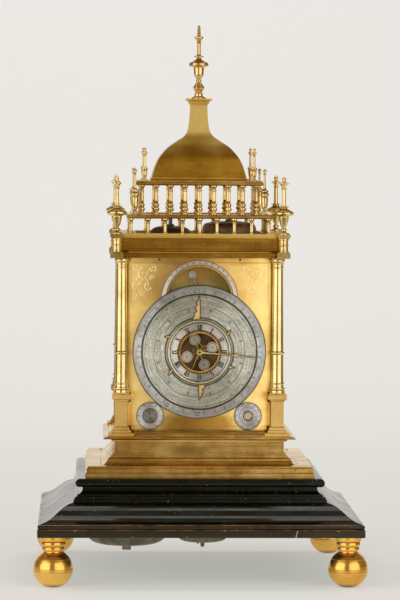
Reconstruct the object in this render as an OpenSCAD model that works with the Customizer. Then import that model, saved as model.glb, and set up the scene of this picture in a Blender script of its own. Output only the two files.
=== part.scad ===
// Tower table clock: gilt brass tower with columns, bell galleries and an ogee roof,
// an astronomical dial on the front, and an ebonised plinth on ball feet.
// The front faces -Y, the origin is on the floor under the middle of the plinth.

/* [Plinth] */
// Width of the ebonised slab across the front
slab_w = 313.4; // [304:0.2:324]
// How much less every half depth is than its half width
plan_cut = 18; // [12:1:20]
// Thickness of the slab
slab_t = 12.2; // [10:0.2:16]
// Width of the wooden rails that make the slab
slab_rail = 38; // [36:1:42]
// Height of the ogee moulding on the slab
ogee_h = 18; // [14:1:24]
// Width across the plinth's neck, over its fillets
neck_w = 244.8; // [240:1:256]
// Height of the plinth's neck, with its hollow and its round
neck_h = 22.3; // [20:0.1:28]
// Thickness of the plinth's top board
board_t = 11; // [8:1:14]
// Height of the ball feet
foot_h = 48.8; // [46:0.2:56]
// Diameter of a foot's ball
ball_d = 38.3; // [32:0.2:40]
// Distance of a foot's axis from the slab's sides
foot_inset = 15.2; // [15:0.2:18]

/* [Gilt base] */
// Width of the lowest gilt fascia
fascia_w = 222; // [218:1:226]
// Height of the two-tier fascia
fascia_h = 11; // [8:0.5:14]
// Height of the hollow moulding and its steps over the fascia
cavetto_h = 10.4; // [8:0.2:14]
// Width of the plain dado
dado_w = 165.4; // [162:0.2:168]
// Height of the dado with its cornice
dado_h = 16.9; // [15:0.1:22]
// Thickness of the tower's brass floor
floor_t = 2.5; // [2:0.1:4]

/* [Tower] */
// Distance between the column axes across the front
column_span = 152.4; // [150:0.2:154]
// Height of a pedestal
pedestal_h = 42.1; // [38:0.5:50]
// Height of a column with its base and capital
column_h = 131.3; // [124:0.1:150]
// Radius of a column at the bottom of its shaft
column_r = 6.15; // [5:0.05:6.5]
// Thickness of the dial plate, back plate and doors
plate_t = 2; // [1.6:0.1:2.2]
// How far the dial plate's face lies behind the column axes
plate_set = 3.4; // [3.2:0.1:4]
// Thickness of the corner angles behind the columns
angle_t = 4; // [3:0.5:4]

/* [Entablature] */
// Height of the entablature
entab_h = 23.6; // [20:0.1:30]
// How far the corner drums stand outside the column axes
drum_out = 5.1; // [4.6:0.1:5.6]
// Radius of a corner drum
drum_r = 4.9; // [4:0.1:5.2]
// Depth of the bell well below the entablature's top
well_depth = 10; // [8:0.5:12]

/* [Galleries] */
// How far the middle rail's edge lies inside the column axes
mid_rail_in = 4.7; // [4:0.1:6]
// Thickness of the rail between the galleries
mid_rail_t = 4; // [3:0.5:6]
// Height of the lower balusters
low_baluster_h = 14.5; // [12:0.5:24]
// How far the lower balusters' axes lie inside the middle rail's edge
low_row_in = 3.9; // [3:0.1:5]
// Lower balusters across the front
low_count = 9; // [5:2:11]
// Height of the upper balusters
high_baluster_h = 28.3; // [24:0.1:40]
// How far the upper balusters' axes lie inside the middle rail's edge
high_row_in = 14.8; // [14:0.1:16]
// Upper balusters across the front
high_count = 9; // [5:2:11]

/* [Roof] */
// How far the eave plate reaches past the upper balusters' axes
eave_over = 6; // [5:0.1:7]
// Thickness of the eave plate
eave_t = 4.6; // [3:0.2:8]
// How far the dome's foot lies inside the eave plate's edge
dome_in = 15.2; // [14.8:0.1:17]
// Height of the dome up to its cap
dome_h = 74; // [66:1:90]
// Width of the dome's square neck
neck_of_dome_w = 17; // [15:0.5:20]
// Thickness of the dome's sheet
dome_t = 1.5; // [1:0.1:2.5]
// Height of the moulded cap on the dome
cap_h = 7; // [5:0.5:10]
// Height of the turned finial on top
top_finial_h = 72.8; // [60:0.2:90]

/* [Dial] */
// Height of the dial centre above the tower's floor
dial_rise = 81.5; // [80:0.1:86]
// Outer radius of the fixed date ring
date_ring_r = 65.2; // [60:0.1:65.3]
// Width of the date ring
date_ring_band = 8.9; // [6:0.1:10]
// Outer radius of the ring that carries the flame pointers
pointer_ring_r = 32.4; // [31:0.1:33]
// Width of the pointer ring
pointer_ring_band = 3.8; // [3:0.1:4.5]
// Inner radius of the hour ring
hour_ring_r = 21.2; // [19:0.1:22]
// Width of the toothed ring of the aspect wheel
aspect_band = 2.5; // [2:0.1:2.6]
// Radius of the roundels on the aspect wheel
roundel_r = 5.4; // [4:0.1:5.4]
// Length of the main hand from the dial centre
main_hand_len = 55.7; // [46:0.1:56]
// Length of the thin hand from the dial centre
thin_hand_len = 17.4; // [14:0.1:19]
// Outer radius of the arch ring over the dial
arch_r = 37.5; // [35:0.1:38]
// Height of the arch ring's centre over the dial centre
arch_rise = 52; // [50:0.1:52.4]
// Radius of the two small dials
small_dial_r = 13.5; // [11:0.1:13.5]
// Distance of each small dial's centre from the middle
small_dial_x = 48; // [47:0.1:49]
// How far the small dials' centres lie below the dial centre
small_dial_drop = 62.7; // [62.5:0.1:65]

/* [Bells] */
// Radius of the larger gallery bell
hour_bell_r = 29; // [22:0.5:29.5]
// Radius of the smaller gallery bell
quarter_bell_r = 23; // [16:0.5:24]
// Height of the larger gallery bell
hour_bell_h = 19; // [15:0.5:20]
// Height of the smaller gallery bell
quarter_bell_h = 14; // [12:0.5:17]
// Wall thickness of every bell
bell_t = 1.8; // [1.2:0.1:2.5]
// Radius of the left bell under the plinth
base_bell_r = 44; // [40:1:46]
// Radius of the right bell under the plinth
small_base_bell_r = 28; // [22:1:29]

/* [Movement] */
// Half width of the movement plates
move_half_w = 54; // [53:1:56]
// How far the movement plates reach above the crown wheel's arbor
move_over = 12.1; // [11.5:0.1:16]
// Distance between the insides of the movement plates
move_gap = 68; // [66:1:68]
// Thickness of the movement plates
move_t = 2; // [1.5:0.1:2]
// Radius of the mainspring barrels
barrel_r = 17; // [14:0.5:17]
// Module of the great wheels and of the dial wheels
coarse_m = 1; // [0.9:0.05:1]
// Module of the train wheels
fine_m = 0.8; // [0.7:0.05:0.8]
// Teeth of every pinion in the trains
pinion_n = 8; // [8:1:10]
// Radial play of arbors, pipes and hinge pins in their holes
running_fit = 0.05; // [0.02:0.01:0.1]

/* [Hidden] */
$fn = 48;
gilt = "#c9a14a";
gold = "#e0bd5c";
ebony = "#1a1c18";
silver = "#a9aca8";
bronze = "#4b4a35";
steel = "#55565a";

// Heights of the stages above the floor
z_slab = foot_h;
z_ogee = z_slab + slab_t;
z_neck = z_ogee + ogee_h;
z_gilt = z_neck + neck_h;
z_cavetto = z_gilt + fascia_h;
z_dado = z_cavetto + cavetto_h;
z_tower = z_dado + dado_h;
z_column = z_tower + pedestal_h;
z_entab = z_column + column_h;
z_gallery = z_entab + entab_h;
z_rail = z_gallery + low_baluster_h;
z_high = z_rail + mid_rail_t;
z_eave = z_high + high_baluster_h;
z_dome = z_eave + eave_t;
z_cap = z_dome + dome_h;
z_finial = z_cap + cap_h;
z_dial = z_tower + dial_rise;
z_well = z_gallery - well_depth;

// Half widths across the front, from which half depths are less by plan_cut
slab_u = slab_w / 2;
slab_in_u = slab_u - slab_rail;
neck_u = neck_w / 2;
neck_in_u = neck_u - 22.4;
fascia_u = fascia_w / 2;
dado_u = dado_w / 2;
gilt_in_u = dado_u - 6.7;
column_u = column_span / 2;
plate_u = column_u - plate_set;
drum_u = column_u + drum_out;
entab_u = drum_u - 1.2;
well_u = drum_u - 19.3;
mid_rail_u = column_u - mid_rail_in;
low_row_u = mid_rail_u - low_row_in;
high_row_u = mid_rail_u - high_row_in;
eave_u = high_row_u + eave_over;
dome_u = eave_u - dome_in;
neck_of_dome_u = neck_of_dome_w / 2;
foot_u = slab_u - foot_inset;
move_y = move_gap / 2;
plate_y = plate_u - plan_cut;

// Sizes shared by pieces that meet
skirt_h = 5;
foot_block = 12.4;
die_half = 6.2;
cap_half = 9;
cap_in_u = column_u - cap_half;
abacus_half = 6.6;
block_half = 6.4;
pin_r = 0.8;
pin_x = 39.4;
knuckle_r = 1.7;
knuckle_h = 5;
hinge_x = plate_u + 1.4;
hinge_y = column_u - plan_cut - column_r - 2.45;
hinge_zs = [z_column + 14, z_entab - 16];
latch_r = 1.4;
latch_y = -34;
latch_z = z_dial;
latch_len = 8;
stud_r = 2;
hammer_arbor_r = 1.5;
arch_in_r = arch_r - 4.8;
small_arbor_r = 1;
small_ring_r = small_dial_r - 6;

// Bells: places in plan, and heights of the crowns under the plinth
well_gap = 2;
bell_gap = 6.4;
hour_bell_x = well_u - hour_bell_r - well_gap;
quarter_bell_x = hour_bell_x - hour_bell_r - quarter_bell_r - bell_gap;
bell_places = [[hour_bell_x, 0], [quarter_bell_x, 0]];
hammer_y = well_u - plan_cut - 10;
hammer_places = [[-2, hammer_y], [0, -hammer_y]];
base_bell_gap = 3;
base_bell_x = slab_in_u - base_bell_r - 4.7;
base_bell_y = -30;
base_bell_places = [[-base_bell_x, base_bell_y],
    [base_bell_r + small_base_bell_r + base_bell_gap - base_bell_x, base_bell_y]];
base_bell_zs = [29, 31.5];
bell_lift = 2;

// Dial wheels: teeth on each pipe from the main hand's arbor outwards, and of their pinions
dial_ns = [36, 37, 38, 0, 39, 40];
dial_sum = 48;
pipe_wall = 0.65;
arbor_r = 1.5;
function pipe_r(k) = 1.2 + k * (pipe_wall + running_fit);
function pipe_bore(k) = k == 0 ? 0 : pipe_r(k - 1) + running_fit;
calendar_pipe_r = pipe_r(5);
roundel_turn = 20.6;
roundel_at = 13.1;
dial_face = -plate_y;
dial_back = plate_t - plate_y;
function dial_gear_y(k) = dial_back + [13.7, 11.1, 8.5, 6, 3.4, 0.8][k];
dial_gear_t = 1.6;
bridge_t = 1.5;

// Arbors of the movement, as points of the front view
great_n = 48;
second_n = 48;
third_n = 45;
strike_n = 45;
pins_n = 40;
escape_n = 15;
dial_at = [0, z_dial];
second_at = polar(dial_at, coarse_m * dial_sum / 2, 19.9);
fusee_at = polar(second_at, coarse_m * (great_n + pinion_n) / 2, -78.8);
third_at = polar(second_at, fine_m * (second_n + pinion_n) / 2, 130.6);
crown_at = polar(third_at, fine_m * (third_n + pinion_n) / 2, 148.1);
move_h = crown_at[1] + move_over - z_tower;
going_at = polar(fusee_at, 2 * barrel_r + 5.2, -95.9);
strike_at = [-22, z_tower + 24.6];
pins_at = polar(strike_at, coarse_m * (strike_n + pinion_n) / 2, 117);
fly_at = polar(pins_at, fine_m * (pins_n + pinion_n) / 2, 80);
great_y = 26;
second_y = -30;
third_y = 10;
strike_y = -26;
pins_y = 26;
crown_y = -8;
crown_r = 12;
verge_y = crown_y - 2.5;
verge_r = 0.8;
balance_r = 18;
balance_z = z_tower + move_h + 8;

// Point at a distance and an angle from another
function polar(p, r, a) = [p[0] + r * cos(a), p[1] + r * sin(a)];
// Direction from one point to another
function heading(p, q) = atan2(q[1] - p[1], q[0] - p[0]);
// Points along an arc about a centre
function arc(c, r, from, to, n = 6) =
    [for (i = [0:n]) polar(c, r, from + (to - from) * i / n)];
// Points along an ogee from one corner to another, flat at both ends
function ogee(p, q, bulge, n = 12) =
    [for (i = [0:n]) let (t = i / n)
        [p[0] + (q[0] - p[0]) * t, p[1] + (q[1] - p[1]) * (t - bulge * sin(360 * t) / 6.283)]];
// Smooth curve through points, with a few steps between each two
function smooth(p, n = 4) = concat(
    [for (i = [0:len(p) - 2], j = [0:n - 1])
        let (a = p[max(i - 1, 0)], b = p[i], c = p[i + 1], d = p[min(i + 2, len(p) - 1)], t = j / n)
        0.5 * (2 * b + (c - a) * t + (2 * a - 5 * b + 4 * c - d) * t * t
            + (3 * b - a - 3 * c + d) * t * t * t)],
    [p[len(p) - 1]]);

// Solid turned from points given as radius and height
module turned(points) {
    rotate_extrude() polygon(points);
}
// Copy at the four corners, at a half width u
module corners(u) {
    for (x = [-1, 1], y = [-1, 1]) {
        translate([x * u, y * (u - plan_cut), 0]) children();
    }
}
// Copy mirrored into the four quarters
module quarters() {
    for (x = [0, 1], y = [0, 1]) {
        mirror([x, 0, 0]) mirror([0, y, 0]) children();
    }
}
// Round bar along Y at a point of the front view
module bar(at, y0, y1, r) {
    translate([at[0], y0, at[1]]) rotate([-90, 0, 0]) cylinder(h = y1 - y0, r = r);
}
// Flat shape of the front view, given thickness along Y
module slice(y0, y1) {
    translate([0, y1, 0]) rotate([90, 0, 0]) linear_extrude(y1 - y0) children();
}
// Four mitred rails with one profile, given as half width and height
module mitred(profile) {
    us = [for (p = profile) p[0]];
    zs = [for (p = profile) p[1]];
    big = max(us) + 1;
    small = min(us) - 1;
    for (turn = [0, 180]) rotate([0, 0, turn]) {
        intersection() {
            translate([-big, 0, 0]) rotate([90, 0, 90]) linear_extrude(2 * big)
                polygon([for (p = profile) [p[0] - plan_cut, p[1]]]);
            translate([0, 0, min(zs) - 1]) linear_extrude(max(zs) - min(zs) + 2)
                polygon([[-big, big - plan_cut], [big, big - plan_cut],
                    [small, small - plan_cut], [-small, small - plan_cut]]);
        }
        intersection() {
            translate([0, big, 0]) rotate([90, 0, 0]) linear_extrude(2 * big) polygon(profile);
            translate([0, 0, min(zs) - 1]) linear_extrude(max(zs) - min(zs) + 2)
                polygon([[big, plan_cut - big], [big, big - plan_cut],
                    [small, small - plan_cut], [small, plan_cut - small]]);
        }
    }
}
// Flat rectangular plate at a half width u
module plate(u, z, t) {
    translate([-u, plan_cut - u, z]) cube([2 * u, 2 * (u - plan_cut), t]);
}

// Toothed outline with a tooth centred on the first axis
module gear_2d(n, m, phase = 0) {
    step = 360 / n;
    root = m * (n / 2 - 1.15);
    pitch = m * n / 2;
    tip = m * (n / 2 + 0.85);
    polygon([for (i = [0:n - 1]) let (a = phase + i * step) each [
        polar([0, 0], root, a - step * 0.25),
        polar([0, 0], pitch, a - step * 0.2),
        polar([0, 0], (pitch + tip) / 2, a - step * 0.15),
        polar([0, 0], tip, a - step * 0.06),
        polar([0, 0], tip, a + step * 0.06),
        polar([0, 0], (pitch + tip) / 2, a + step * 0.15),
        polar([0, 0], pitch, a + step * 0.2),
        polar([0, 0], root, a + step * 0.25)]]);
}
// Spoked or solid toothed wheel in the front view, from y0 to y1
module wheel(at, y0, y1, n, m, phase, spokes = 4, hub = 4) {
    translate([at[0], 0, at[1]]) slice(y0, y1) difference() {
        gear_2d(n, m, phase);
        if (spokes > 0) difference() {
            circle(m * (n / 2 - 1.25) - 2.4);
            circle(hub);
            for (i = [0:spokes - 1]) rotate(i * 360 / spokes + 45) translate([0, -0.9])
                square([m * n, 1.8]);
        }
    }
}

// Slab of four mitred rails with a bead along its upper edge
module plinth_slab() {
    bead = 2.1;
    color(ebony) mitred(concat([[slab_in_u, z_slab], [slab_u - 0.5, z_slab], [slab_u, z_slab + 0.5],
        [slab_u, z_ogee - 2 * bead - 0.7], [slab_u - 0.9, z_ogee - 2 * bead]],
        arc([slab_u - bead - 0.3, z_ogee - bead], bead, -80, 90, 8), [[slab_in_u, z_ogee]]));
}
// Ogee moulding that draws the plinth in from the slab to the neck
module plinth_ogee() {
    edge = slab_u - 3.2;
    color(ebony) mitred(concat([[neck_in_u, z_ogee], [edge, z_ogee]],
        ogee([edge, z_ogee + 0.6], [neck_u, z_neck], 0.55), [[neck_in_u, z_neck]]));
}
// Neck of the plinth: fillets, a hollow and a round under the gilt base
module plinth_neck() {
    top = z_gilt;
    round_r = 4.1;
    color(ebony) mitred(concat([[neck_in_u, z_neck], [neck_u, z_neck], [neck_u, z_neck + 2.4],
        [neck_u - 1.2, z_neck + 2.9], [neck_u - 1.2, z_neck + 5], [neck_u - 3.6, z_neck + 5.4],
        [neck_u - 3.6, z_neck + 7.2]],
        arc([neck_u - 3, z_neck + 13.1], 6, 255, 172, 7),
        arc([neck_u - 6.1, top - round_r], round_r, -110, 90, 12), [[neck_in_u, top]]));
}
// Top board inside the neck, bored for the studs of the bells below
module plinth_board() {
    color(ebony) difference() {
        plate(neck_in_u, z_gilt - board_t, board_t);
        for (b = base_bell_places) translate([b[0], b[1], z_gilt - board_t - 1])
            cylinder(h = board_t + 2, r = stud_r);
    }
}
// Ball feet: grooved ball, waist and a collar of three rings under the slab
module ball_feet() {
    r = ball_d / 2;
    h = foot_h * 0.348;
    low = h / sin(75);
    ball = [for (a = [-75:5:60]) [r * cos(a), h + (a < 0 ? low : r) * sin(a)]];
    w = r * 0.67;
    top = foot_h - 13.2;
    color(gold) corners(foot_u) difference() {
        turned(concat([[0, 0]], ball, [[w - 3.6, top - 1.2], [w - 3.6, top - 0.4], [w - 2.2, top],
            [w - 1.9, top + 1.4], [w - 2.2, top + 2.8], [w - 2.9, top + 3.3], [w - 2.9, top + 3.9],
            [w - 1.4, top + 4.3], [w - 1, top + 6], [w - 1.4, top + 7.7], [w - 2, top + 8.2],
            [w - 0.5, top + 8.8], [w, top + 10.4], [w, foot_h], [0, foot_h]]));
        for (z = [-1, 1, 10]) translate([0, 0, h + z]) rotate_extrude()
            translate([r * sqrt(1 - pow(z / r, 2)), 0]) circle(r = 0.5, $fn = 16);
    }
}

// Lower gilt base: two-tier fascia, hollow and three steps
module gilt_base_lower() {
    u = fascia_u;
    z = z_cavetto;
    top = z_dado;
    color(gilt) mitred(concat([[gilt_in_u, z_gilt], [u, z_gilt], [u, z_gilt + fascia_h * 0.4],
        [u - 1.2, z_gilt + fascia_h * 0.46], [u - 1.2, z - 1.9], [u - 2.4, z - 1.5], [u - 2.4, z],
        [dado_u + 13.8, z + 0.3]],
        arc([dado_u + 13.8, z + 7.2], 7.6, 262, 195, 6),
        [[dado_u + 5.4, top - 4], [dado_u + 3.8, top - 3.8], [dado_u + 3.8, top - 2],
        [dado_u + 1.9, top - 1.8], [dado_u + 1.9, top], [gilt_in_u, top]]));
}
// Upper gilt base: plain dado under a projecting cornice
module gilt_base_upper() {
    top = z_tower;
    color(gilt) mitred(concat([[gilt_in_u, z_dado], [dado_u, z_dado], [dado_u, top - 5.2]],
        arc([dado_u + 5, top - 5.2], 2.4, 180, 90, 4),
        [[dado_u + 10.4, top - 2.6], [dado_u + 10.8, top - 2.2], [dado_u + 10.8, top - 1.2],
        [dado_u + 6, top], [gilt_in_u, top]]));
}
// Brass floor of the tower, let in flush with the cornice
module tower_floor() {
    color(gilt) plate(gilt_in_u, z_tower - floor_t, floor_t);
}
// Stepped skirt moulding under the dial plate and doors, between the pedestals
module base_skirt() {
    h = skirt_h;
    color(gilt) difference() {
        mitred([[plate_u - 3, z_tower], [column_u + 11.6, z_tower],
            [column_u + 11.6, z_tower + h * 0.26], [column_u + 8.4, z_tower + h * 0.34],
            [column_u + 7.6, z_tower + h * 0.62], [column_u + 3.4, z_tower + h * 0.7],
            [column_u + 1.2, z_tower + h], [plate_u - 3, z_tower + h]]);
        corners(column_u) translate([-foot_block, -foot_block, z_tower - 1])
            cube([2 * foot_block, 2 * foot_block, h + 2]);
        quarters() translate([0, 0, z_tower - 1]) linear_extrude(h + 2)
            offset_angle();
    }
}
// Square pedestals with a stepped foot and a moulded cap
module pedestals() {
    b = die_half;
    top = pedestal_h;
    profile = concat([[0, 0], [foot_block, 0], [foot_block, 2.6], [b + 3.2, 3], [b + 3.2, 5.4],
        [b + 1.6, 5.8], [b + 1.6, 8.2], [b, 9], [b, top - 8.8], [b + 0.9, top - 8.2]],
        arc([b + 2.9, top - 8.2], 2, 180, 90, 3),
        [[cap_half, top - 4.4], [cap_half, top - 1.9], [cap_half - 1.3, top - 1.2],
        [cap_half - 1.3, top], [0, top]]);
    outline = concat(profile, [for (i = [len(profile) - 2:-1:1]) [-profile[i][0], profile[i][1]]]);
    color(gilt) difference() {
        corners(column_u) translate([0, 0, z_tower]) intersection() {
            rotate([90, 0, 0]) linear_extrude(4 * cap_half, center = true) polygon(outline);
            rotate([90, 0, 90]) linear_extrude(4 * cap_half, center = true) polygon(outline);
        }
        quarters() translate([0, 0, z_tower - 1]) linear_extrude(pedestal_h + 2) offset_angle();
    }
}
// Columns with a turned base, a middle ring, an astragal and a square abacus
module columns() {
    r = column_r;
    top_r = r * 0.825;
    h = column_h;
    mid = h * 0.297;
    color(gilt) corners(column_u) translate([0, 0, z_column]) {
        turned(concat([[0, 0], [r * 1.2, 0], [r * 1.2, 2.2]],
            arc([r * 1.06, 4], 1.3, -80, 90, 6), [[r + 0.1, 5.6], [r + 0.1, 7.6]],
            arc([r * 1.02, 8.8], 0.9, -90, 90, 5), [[r, 10.2], [r * 0.965, mid - 1.7]],
            arc([r * 0.99, mid], 1.25, -80, 80, 6), [[r * 0.96, mid + 1.7], [top_r, h - 11]],
            arc([top_r + 0.1, h - 9.1], 0.8, -90, 90, 5), [[top_r, h - 7.8], [top_r, h - 6.4],
            [r * 0.9, h - 5.8], [r * 0.9, h - 5]],
            arc([r * 0.72, h - 2], 2.6, -60, 20, 5), [[r * 1.1, h - 1], [0, h - 1]]));
        translate([-abacus_half, -abacus_half, h - 1.2]) cube([2 * abacus_half, 2 * abacus_half, 1.2]);
    }
}
// Outline of a corner angle, folded around the inside of a column
module angle_2d(play = 0) {
    f = plate_u - plate_t - plan_cut;
    s = plate_u - plate_t;
    t = angle_t;
    x = cap_in_u - 0.4;
    y = x - plan_cut;
    polygon([[x - 9.6, f - t], [x - 9.6, f], [x + play, f], [x + play, y + play],
        [s, y + play], [s, y - 10], [s - t, y - 10], [s - t, y - t], [x - t, y - t], [x - t, f - t]]);
}
// Room that pedestals and skirt leave for the corner angles
module offset_angle() {
    angle_2d(0.05);
}
// Brass angles at the four corners, which carry the dial plate, the back and the doors
module corner_angles() {
    color(gilt) quarters() translate([0, 0, z_tower]) linear_extrude(z_entab - z_tower) angle_2d();
}

// Outline of the dial plate and the back: as wide as the columns allow, notched for their caps
module front_outline() {
    half = column_u - column_r - 0.45;
    difference() {
        translate([-half, z_tower + skirt_h]) square([2 * half, z_entab - z_tower - skirt_h]);
        for (s = [-1, 1]) {
            translate([s * (column_u - cap_half / 2 - 0.1) - cap_half / 2 - 0.1, z_column - 10])
                square([cap_half + 0.2, 10.2]);
            translate([s * half - 0.9, z_column]) square([1.8, 6.6]);
            translate([s * half - 3.4, z_tower]) square([6.8, 9.2]);
            translate([s * half - 1.2, z_entab - 1.5]) square([2.4, 2]);
        }
    }
}
// Dial plate with the bore for the pipes, the arch recess and the small arbor holes
module dial_plate() {
    color(gilt) slice(-plate_y, plate_t - plate_y) difference() {
        front_outline();
        translate([0, z_dial]) circle(calendar_pipe_r + running_fit);
        translate([0, z_dial + arch_rise]) circle(arch_in_r - 1.2);
        for (s = [-1, 1]) translate([s * small_dial_x, z_dial - small_dial_drop])
            circle(small_arbor_r + running_fit);
        for (s = [-1, 1]) translate([s * pin_x, z_entab - 1.8]) circle(r = pin_r, $fn = 24);
    }
}
// Back plate with holes over the two winding squares
module back_plate() {
    color(gilt) slice(plate_y - plate_t, plate_y) difference() {
        front_outline();
        for (at = [fusee_at, strike_at]) translate(at) circle(5);
    }
}
// Side door: a plate with hinge barrels, notched for the column caps and the hinge brackets
module door(s) {
    half = column_u - plan_cut - column_r - 2.2;
    x0 = plate_u - plate_t + 0.1;
    bottom = z_tower + skirt_h + 1.6;
    top = z_entab - 3.8;
    mirror([s < 0 ? 1 : 0, 0, 0]) difference() {
        union() {
            difference() {
                translate([x0, -half, bottom]) cube([plate_t, half + hinge_y, top - bottom]);
                for (y = [-1, 1]) translate([x0 - 1, y * (cap_in_u - plan_cut + 5) - 5.2, z_column - 11])
                    cube([plate_t + 2, 10.4, 12.2]);
                for (z = hinge_zs) translate([x0 - 1, hinge_y - 3.2, z - knuckle_h / 2 - 0.3])
                    cube([plate_t + 2, 10, knuckle_h + 0.6]);
                translate([x0 - 1, latch_y, latch_z]) rotate([0, 90, 0])
                    cylinder(h = plate_t + 2, r = latch_r + running_fit);
                door_panel_recess(x0 + plate_t - 0.5, bottom, top, half);
            }
            for (z = hinge_zs, k = [-1, 1])
                translate([hinge_x, hinge_y, z + k * (knuckle_h + 0.3) - knuckle_h / 2]) union() {
                    cylinder(h = knuckle_h, r = knuckle_r);
                    translate([-1.6, -2.8, 0]) cube([1.6, 2.8, knuckle_h]);
                }
        }
        for (z = hinge_zs) translate([hinge_x, hinge_y, z - 2 * knuckle_h])
            cylinder(h = 4 * knuckle_h, r = pin_r + running_fit);
    }
}
// Shallow border worked into the door's face
module door_panel_recess(x, bottom, top, half) {
    w = 2 * half - 16;
    h = top - bottom - 16;
    translate([x, -w / 2, bottom + 8]) difference() {
        cube([2, w, h]);
        translate([-1, 3, 3]) cube([4, w - 6, h - 6]);
    }
}
module left_door() {
    color(gilt) door(-1);
}
module right_door() {
    color(gilt) door(1);
}
// Hinge brackets with their pins, fixed to the rear corner angles
module hinge_pins() {
    color(gold) for (s = [0, 1], z = hinge_zs) mirror([s, 0, 0]) translate([0, 0, z]) {
        translate([hinge_x, hinge_y, -knuckle_h / 2]) cylinder(h = knuckle_h, r = knuckle_r);
        translate([plate_u - plate_t, hinge_y - 2.6, -knuckle_h / 2])
            cube([hinge_x - plate_u + plate_t, 2, knuckle_h]);
        translate([hinge_x, hinge_y, -1.5 * knuckle_h - 1]) {
            cylinder(h = 3 * knuckle_h + 2, r = pin_r);
            translate([0, 0, -0.8]) cylinder(h = 0.8, r = pin_r + 0.5);
            translate([0, 0, 3 * knuckle_h + 3]) sphere(r = pin_r + 0.4);
        }
    }
}
// Turning latch: a knob outside, an arbor through the door and a tongue inside
module latch(s) {
    mirror([s < 0 ? 1 : 0, 0, 0]) translate([plate_u, latch_y, latch_z]) rotate([0, 90, 0]) union() {
        translate([0, 0, -plate_t - angle_t - 2.6]) cylinder(h = plate_t + angle_t + 3.4, r = latch_r);
        translate([0, 0, 0.25]) turned([[0, 0], [2.4, 0], [2.4, 0.8], [1.4, 1.4], [1.2, 2.4],
            [2.6, 3.2], [3.2, 4.4], [2.6, 5.6], [1, 6.4], [0, 6.5]]);
        translate([-latch_len, -2.2, -plate_t - angle_t - 2.6]) cube([latch_len + 2.2, 4.4, 2]);
    }
}
module left_latch() {
    color(gold) latch(-1);
}
module right_latch() {
    color(gold) latch(1);
}

// Entablature of four mitred rails: steps, frieze and a low cornice over the bell well
module entablature() {
    z = z_entab;
    h = entab_h;
    u = entab_u;
    color(gilt) difference() {
        mitred(concat([[well_u, z], [u - 4.2, z], [u - 4.2, z + 1.6], [u - 2.8, z + 1.9],
            [u - 2.8, z + 4.4]], arc([u - 0.6, z + 4.6], 2, 180, 100, 4),
            [[u - 0.4, z + 7.2], [u + 0.4, z + 7.6], [u + 0.4, z + 8.6], [u - 1.8, z + 9.2],
            [u - 1.8, z + h - 4.6], [u - 1.1, z + h - 4.2], [u - 1.1, z + h - 2.9],
            [u + 0.6, z + h - 2.3], [u + 0.6, z + h - 0.3], [u + 0.3, z + h], [well_u, z + h]]));
        corners(drum_u) translate([-block_half, -block_half, z - 1])
            cube([2 * block_half, 2 * block_half, h + 2]);
    }
}
// Corner drums: a ringed drum between a lower block and an upper one
module corner_drums() {
    h = entab_h;
    low = 6.3;
    high = 4.4;
    color(gilt) corners(drum_u) translate([0, 0, z_entab]) {
            translate([-block_half, -block_half, 0]) cube([2 * block_half, 2 * block_half, low - 1]);
            translate([-block_half + 0.7, -block_half + 0.7, low - 1.2])
                cube([2 * block_half - 1.4, 2 * block_half - 1.4, 1.2]);
            translate([0, 0, low]) turned(concat([[0, -0.2], [drum_r, -0.2], [drum_r, 1.2],
                [drum_r - 0.5, 1.6], [drum_r - 0.5, (h - low - high) / 2 - 1]],
                arc([drum_r - 0.5, (h - low - high) / 2], 0.8, -90, 90, 5),
                [[drum_r - 0.5, h - low - high - 1.6], [drum_r, h - low - high - 1.2],
                [drum_r, h - low - high + 0.2], [0, h - low - high + 0.2]]));
            translate([-block_half + 0.9, -block_half + 0.9, h - high])
                cube([2 * block_half - 1.8, 2 * block_half - 1.8, 1.6]);
            translate([-block_half, -block_half, h - high + 1.4])
                cube([2 * block_half, 2 * block_half, high - 1.4]);
    }
}
// Corner finials: knop, urn with a wide round rim, lid, shaft and brimmed capital
module corner_finials() {
    color(gold) corners(drum_u) translate([0, 0, z_gallery]) turned(concat(
        [[0, 0], [5.7, 0], [5.7, 0.7], [4.6, 1.4], [2.4, 2.2]],
        arc([1.2, 4.3], 1.9, -70, 70, 5), [[1.7, 6.5], [2.4, 7.6]],
        smooth([[3.3, 8.8], [4.1, 12], [5, 16.4]], 3), [[5.1, 17.2]],
        arc([7.6, 20.4], 2.3, -100, 70, 7), [[6.2, 23.6], [3.4, 25.2], [3.2, 26]],
        [[5.1, 26.4], [5.2, 26.9], [3.2, 27.5], [2.1, 28.4], [2, 43.3]],
        arc([2, 44.1], 0.8, -90, 90, 4), [[2.1, 45.5], [3.4, 48.1], [4.8, 48.9], [4.8, 49.6],
        [2.6, 50.2], [1.7, 51.3]], arc([0.4, 53.7], 1.8, -45, 85, 5), [[0, 56.5]]));
}

// Dark floor of the bell well, bored for the posts and hammer arbors
module bell_floor() {
    color(bronze) difference() {
        plate(well_u, z_well - 2, 2);
        for (p = bell_places) translate([p[0], p[1], z_well - 3]) cylinder(h = 4, r = stud_r);
        for (p = hammer_places) translate([p[0], p[1], z_well - 3])
            cylinder(h = 4, r = hammer_arbor_r + running_fit);
    }
}
// One baluster of the lower gallery
module low_baluster() {
    h = low_baluster_h;
    turned([[0, 0], [2.5, 0], [2.5, 1], [1.7, 1.8], [1.7, h - 5], [2.2, h - 4.4], [2.2, h - 3.8],
        [1.7, h - 3.4], [1.9, h - 2.4], [2.9, h - 1.2], [2.9, h], [0, h]]);
}
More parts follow.
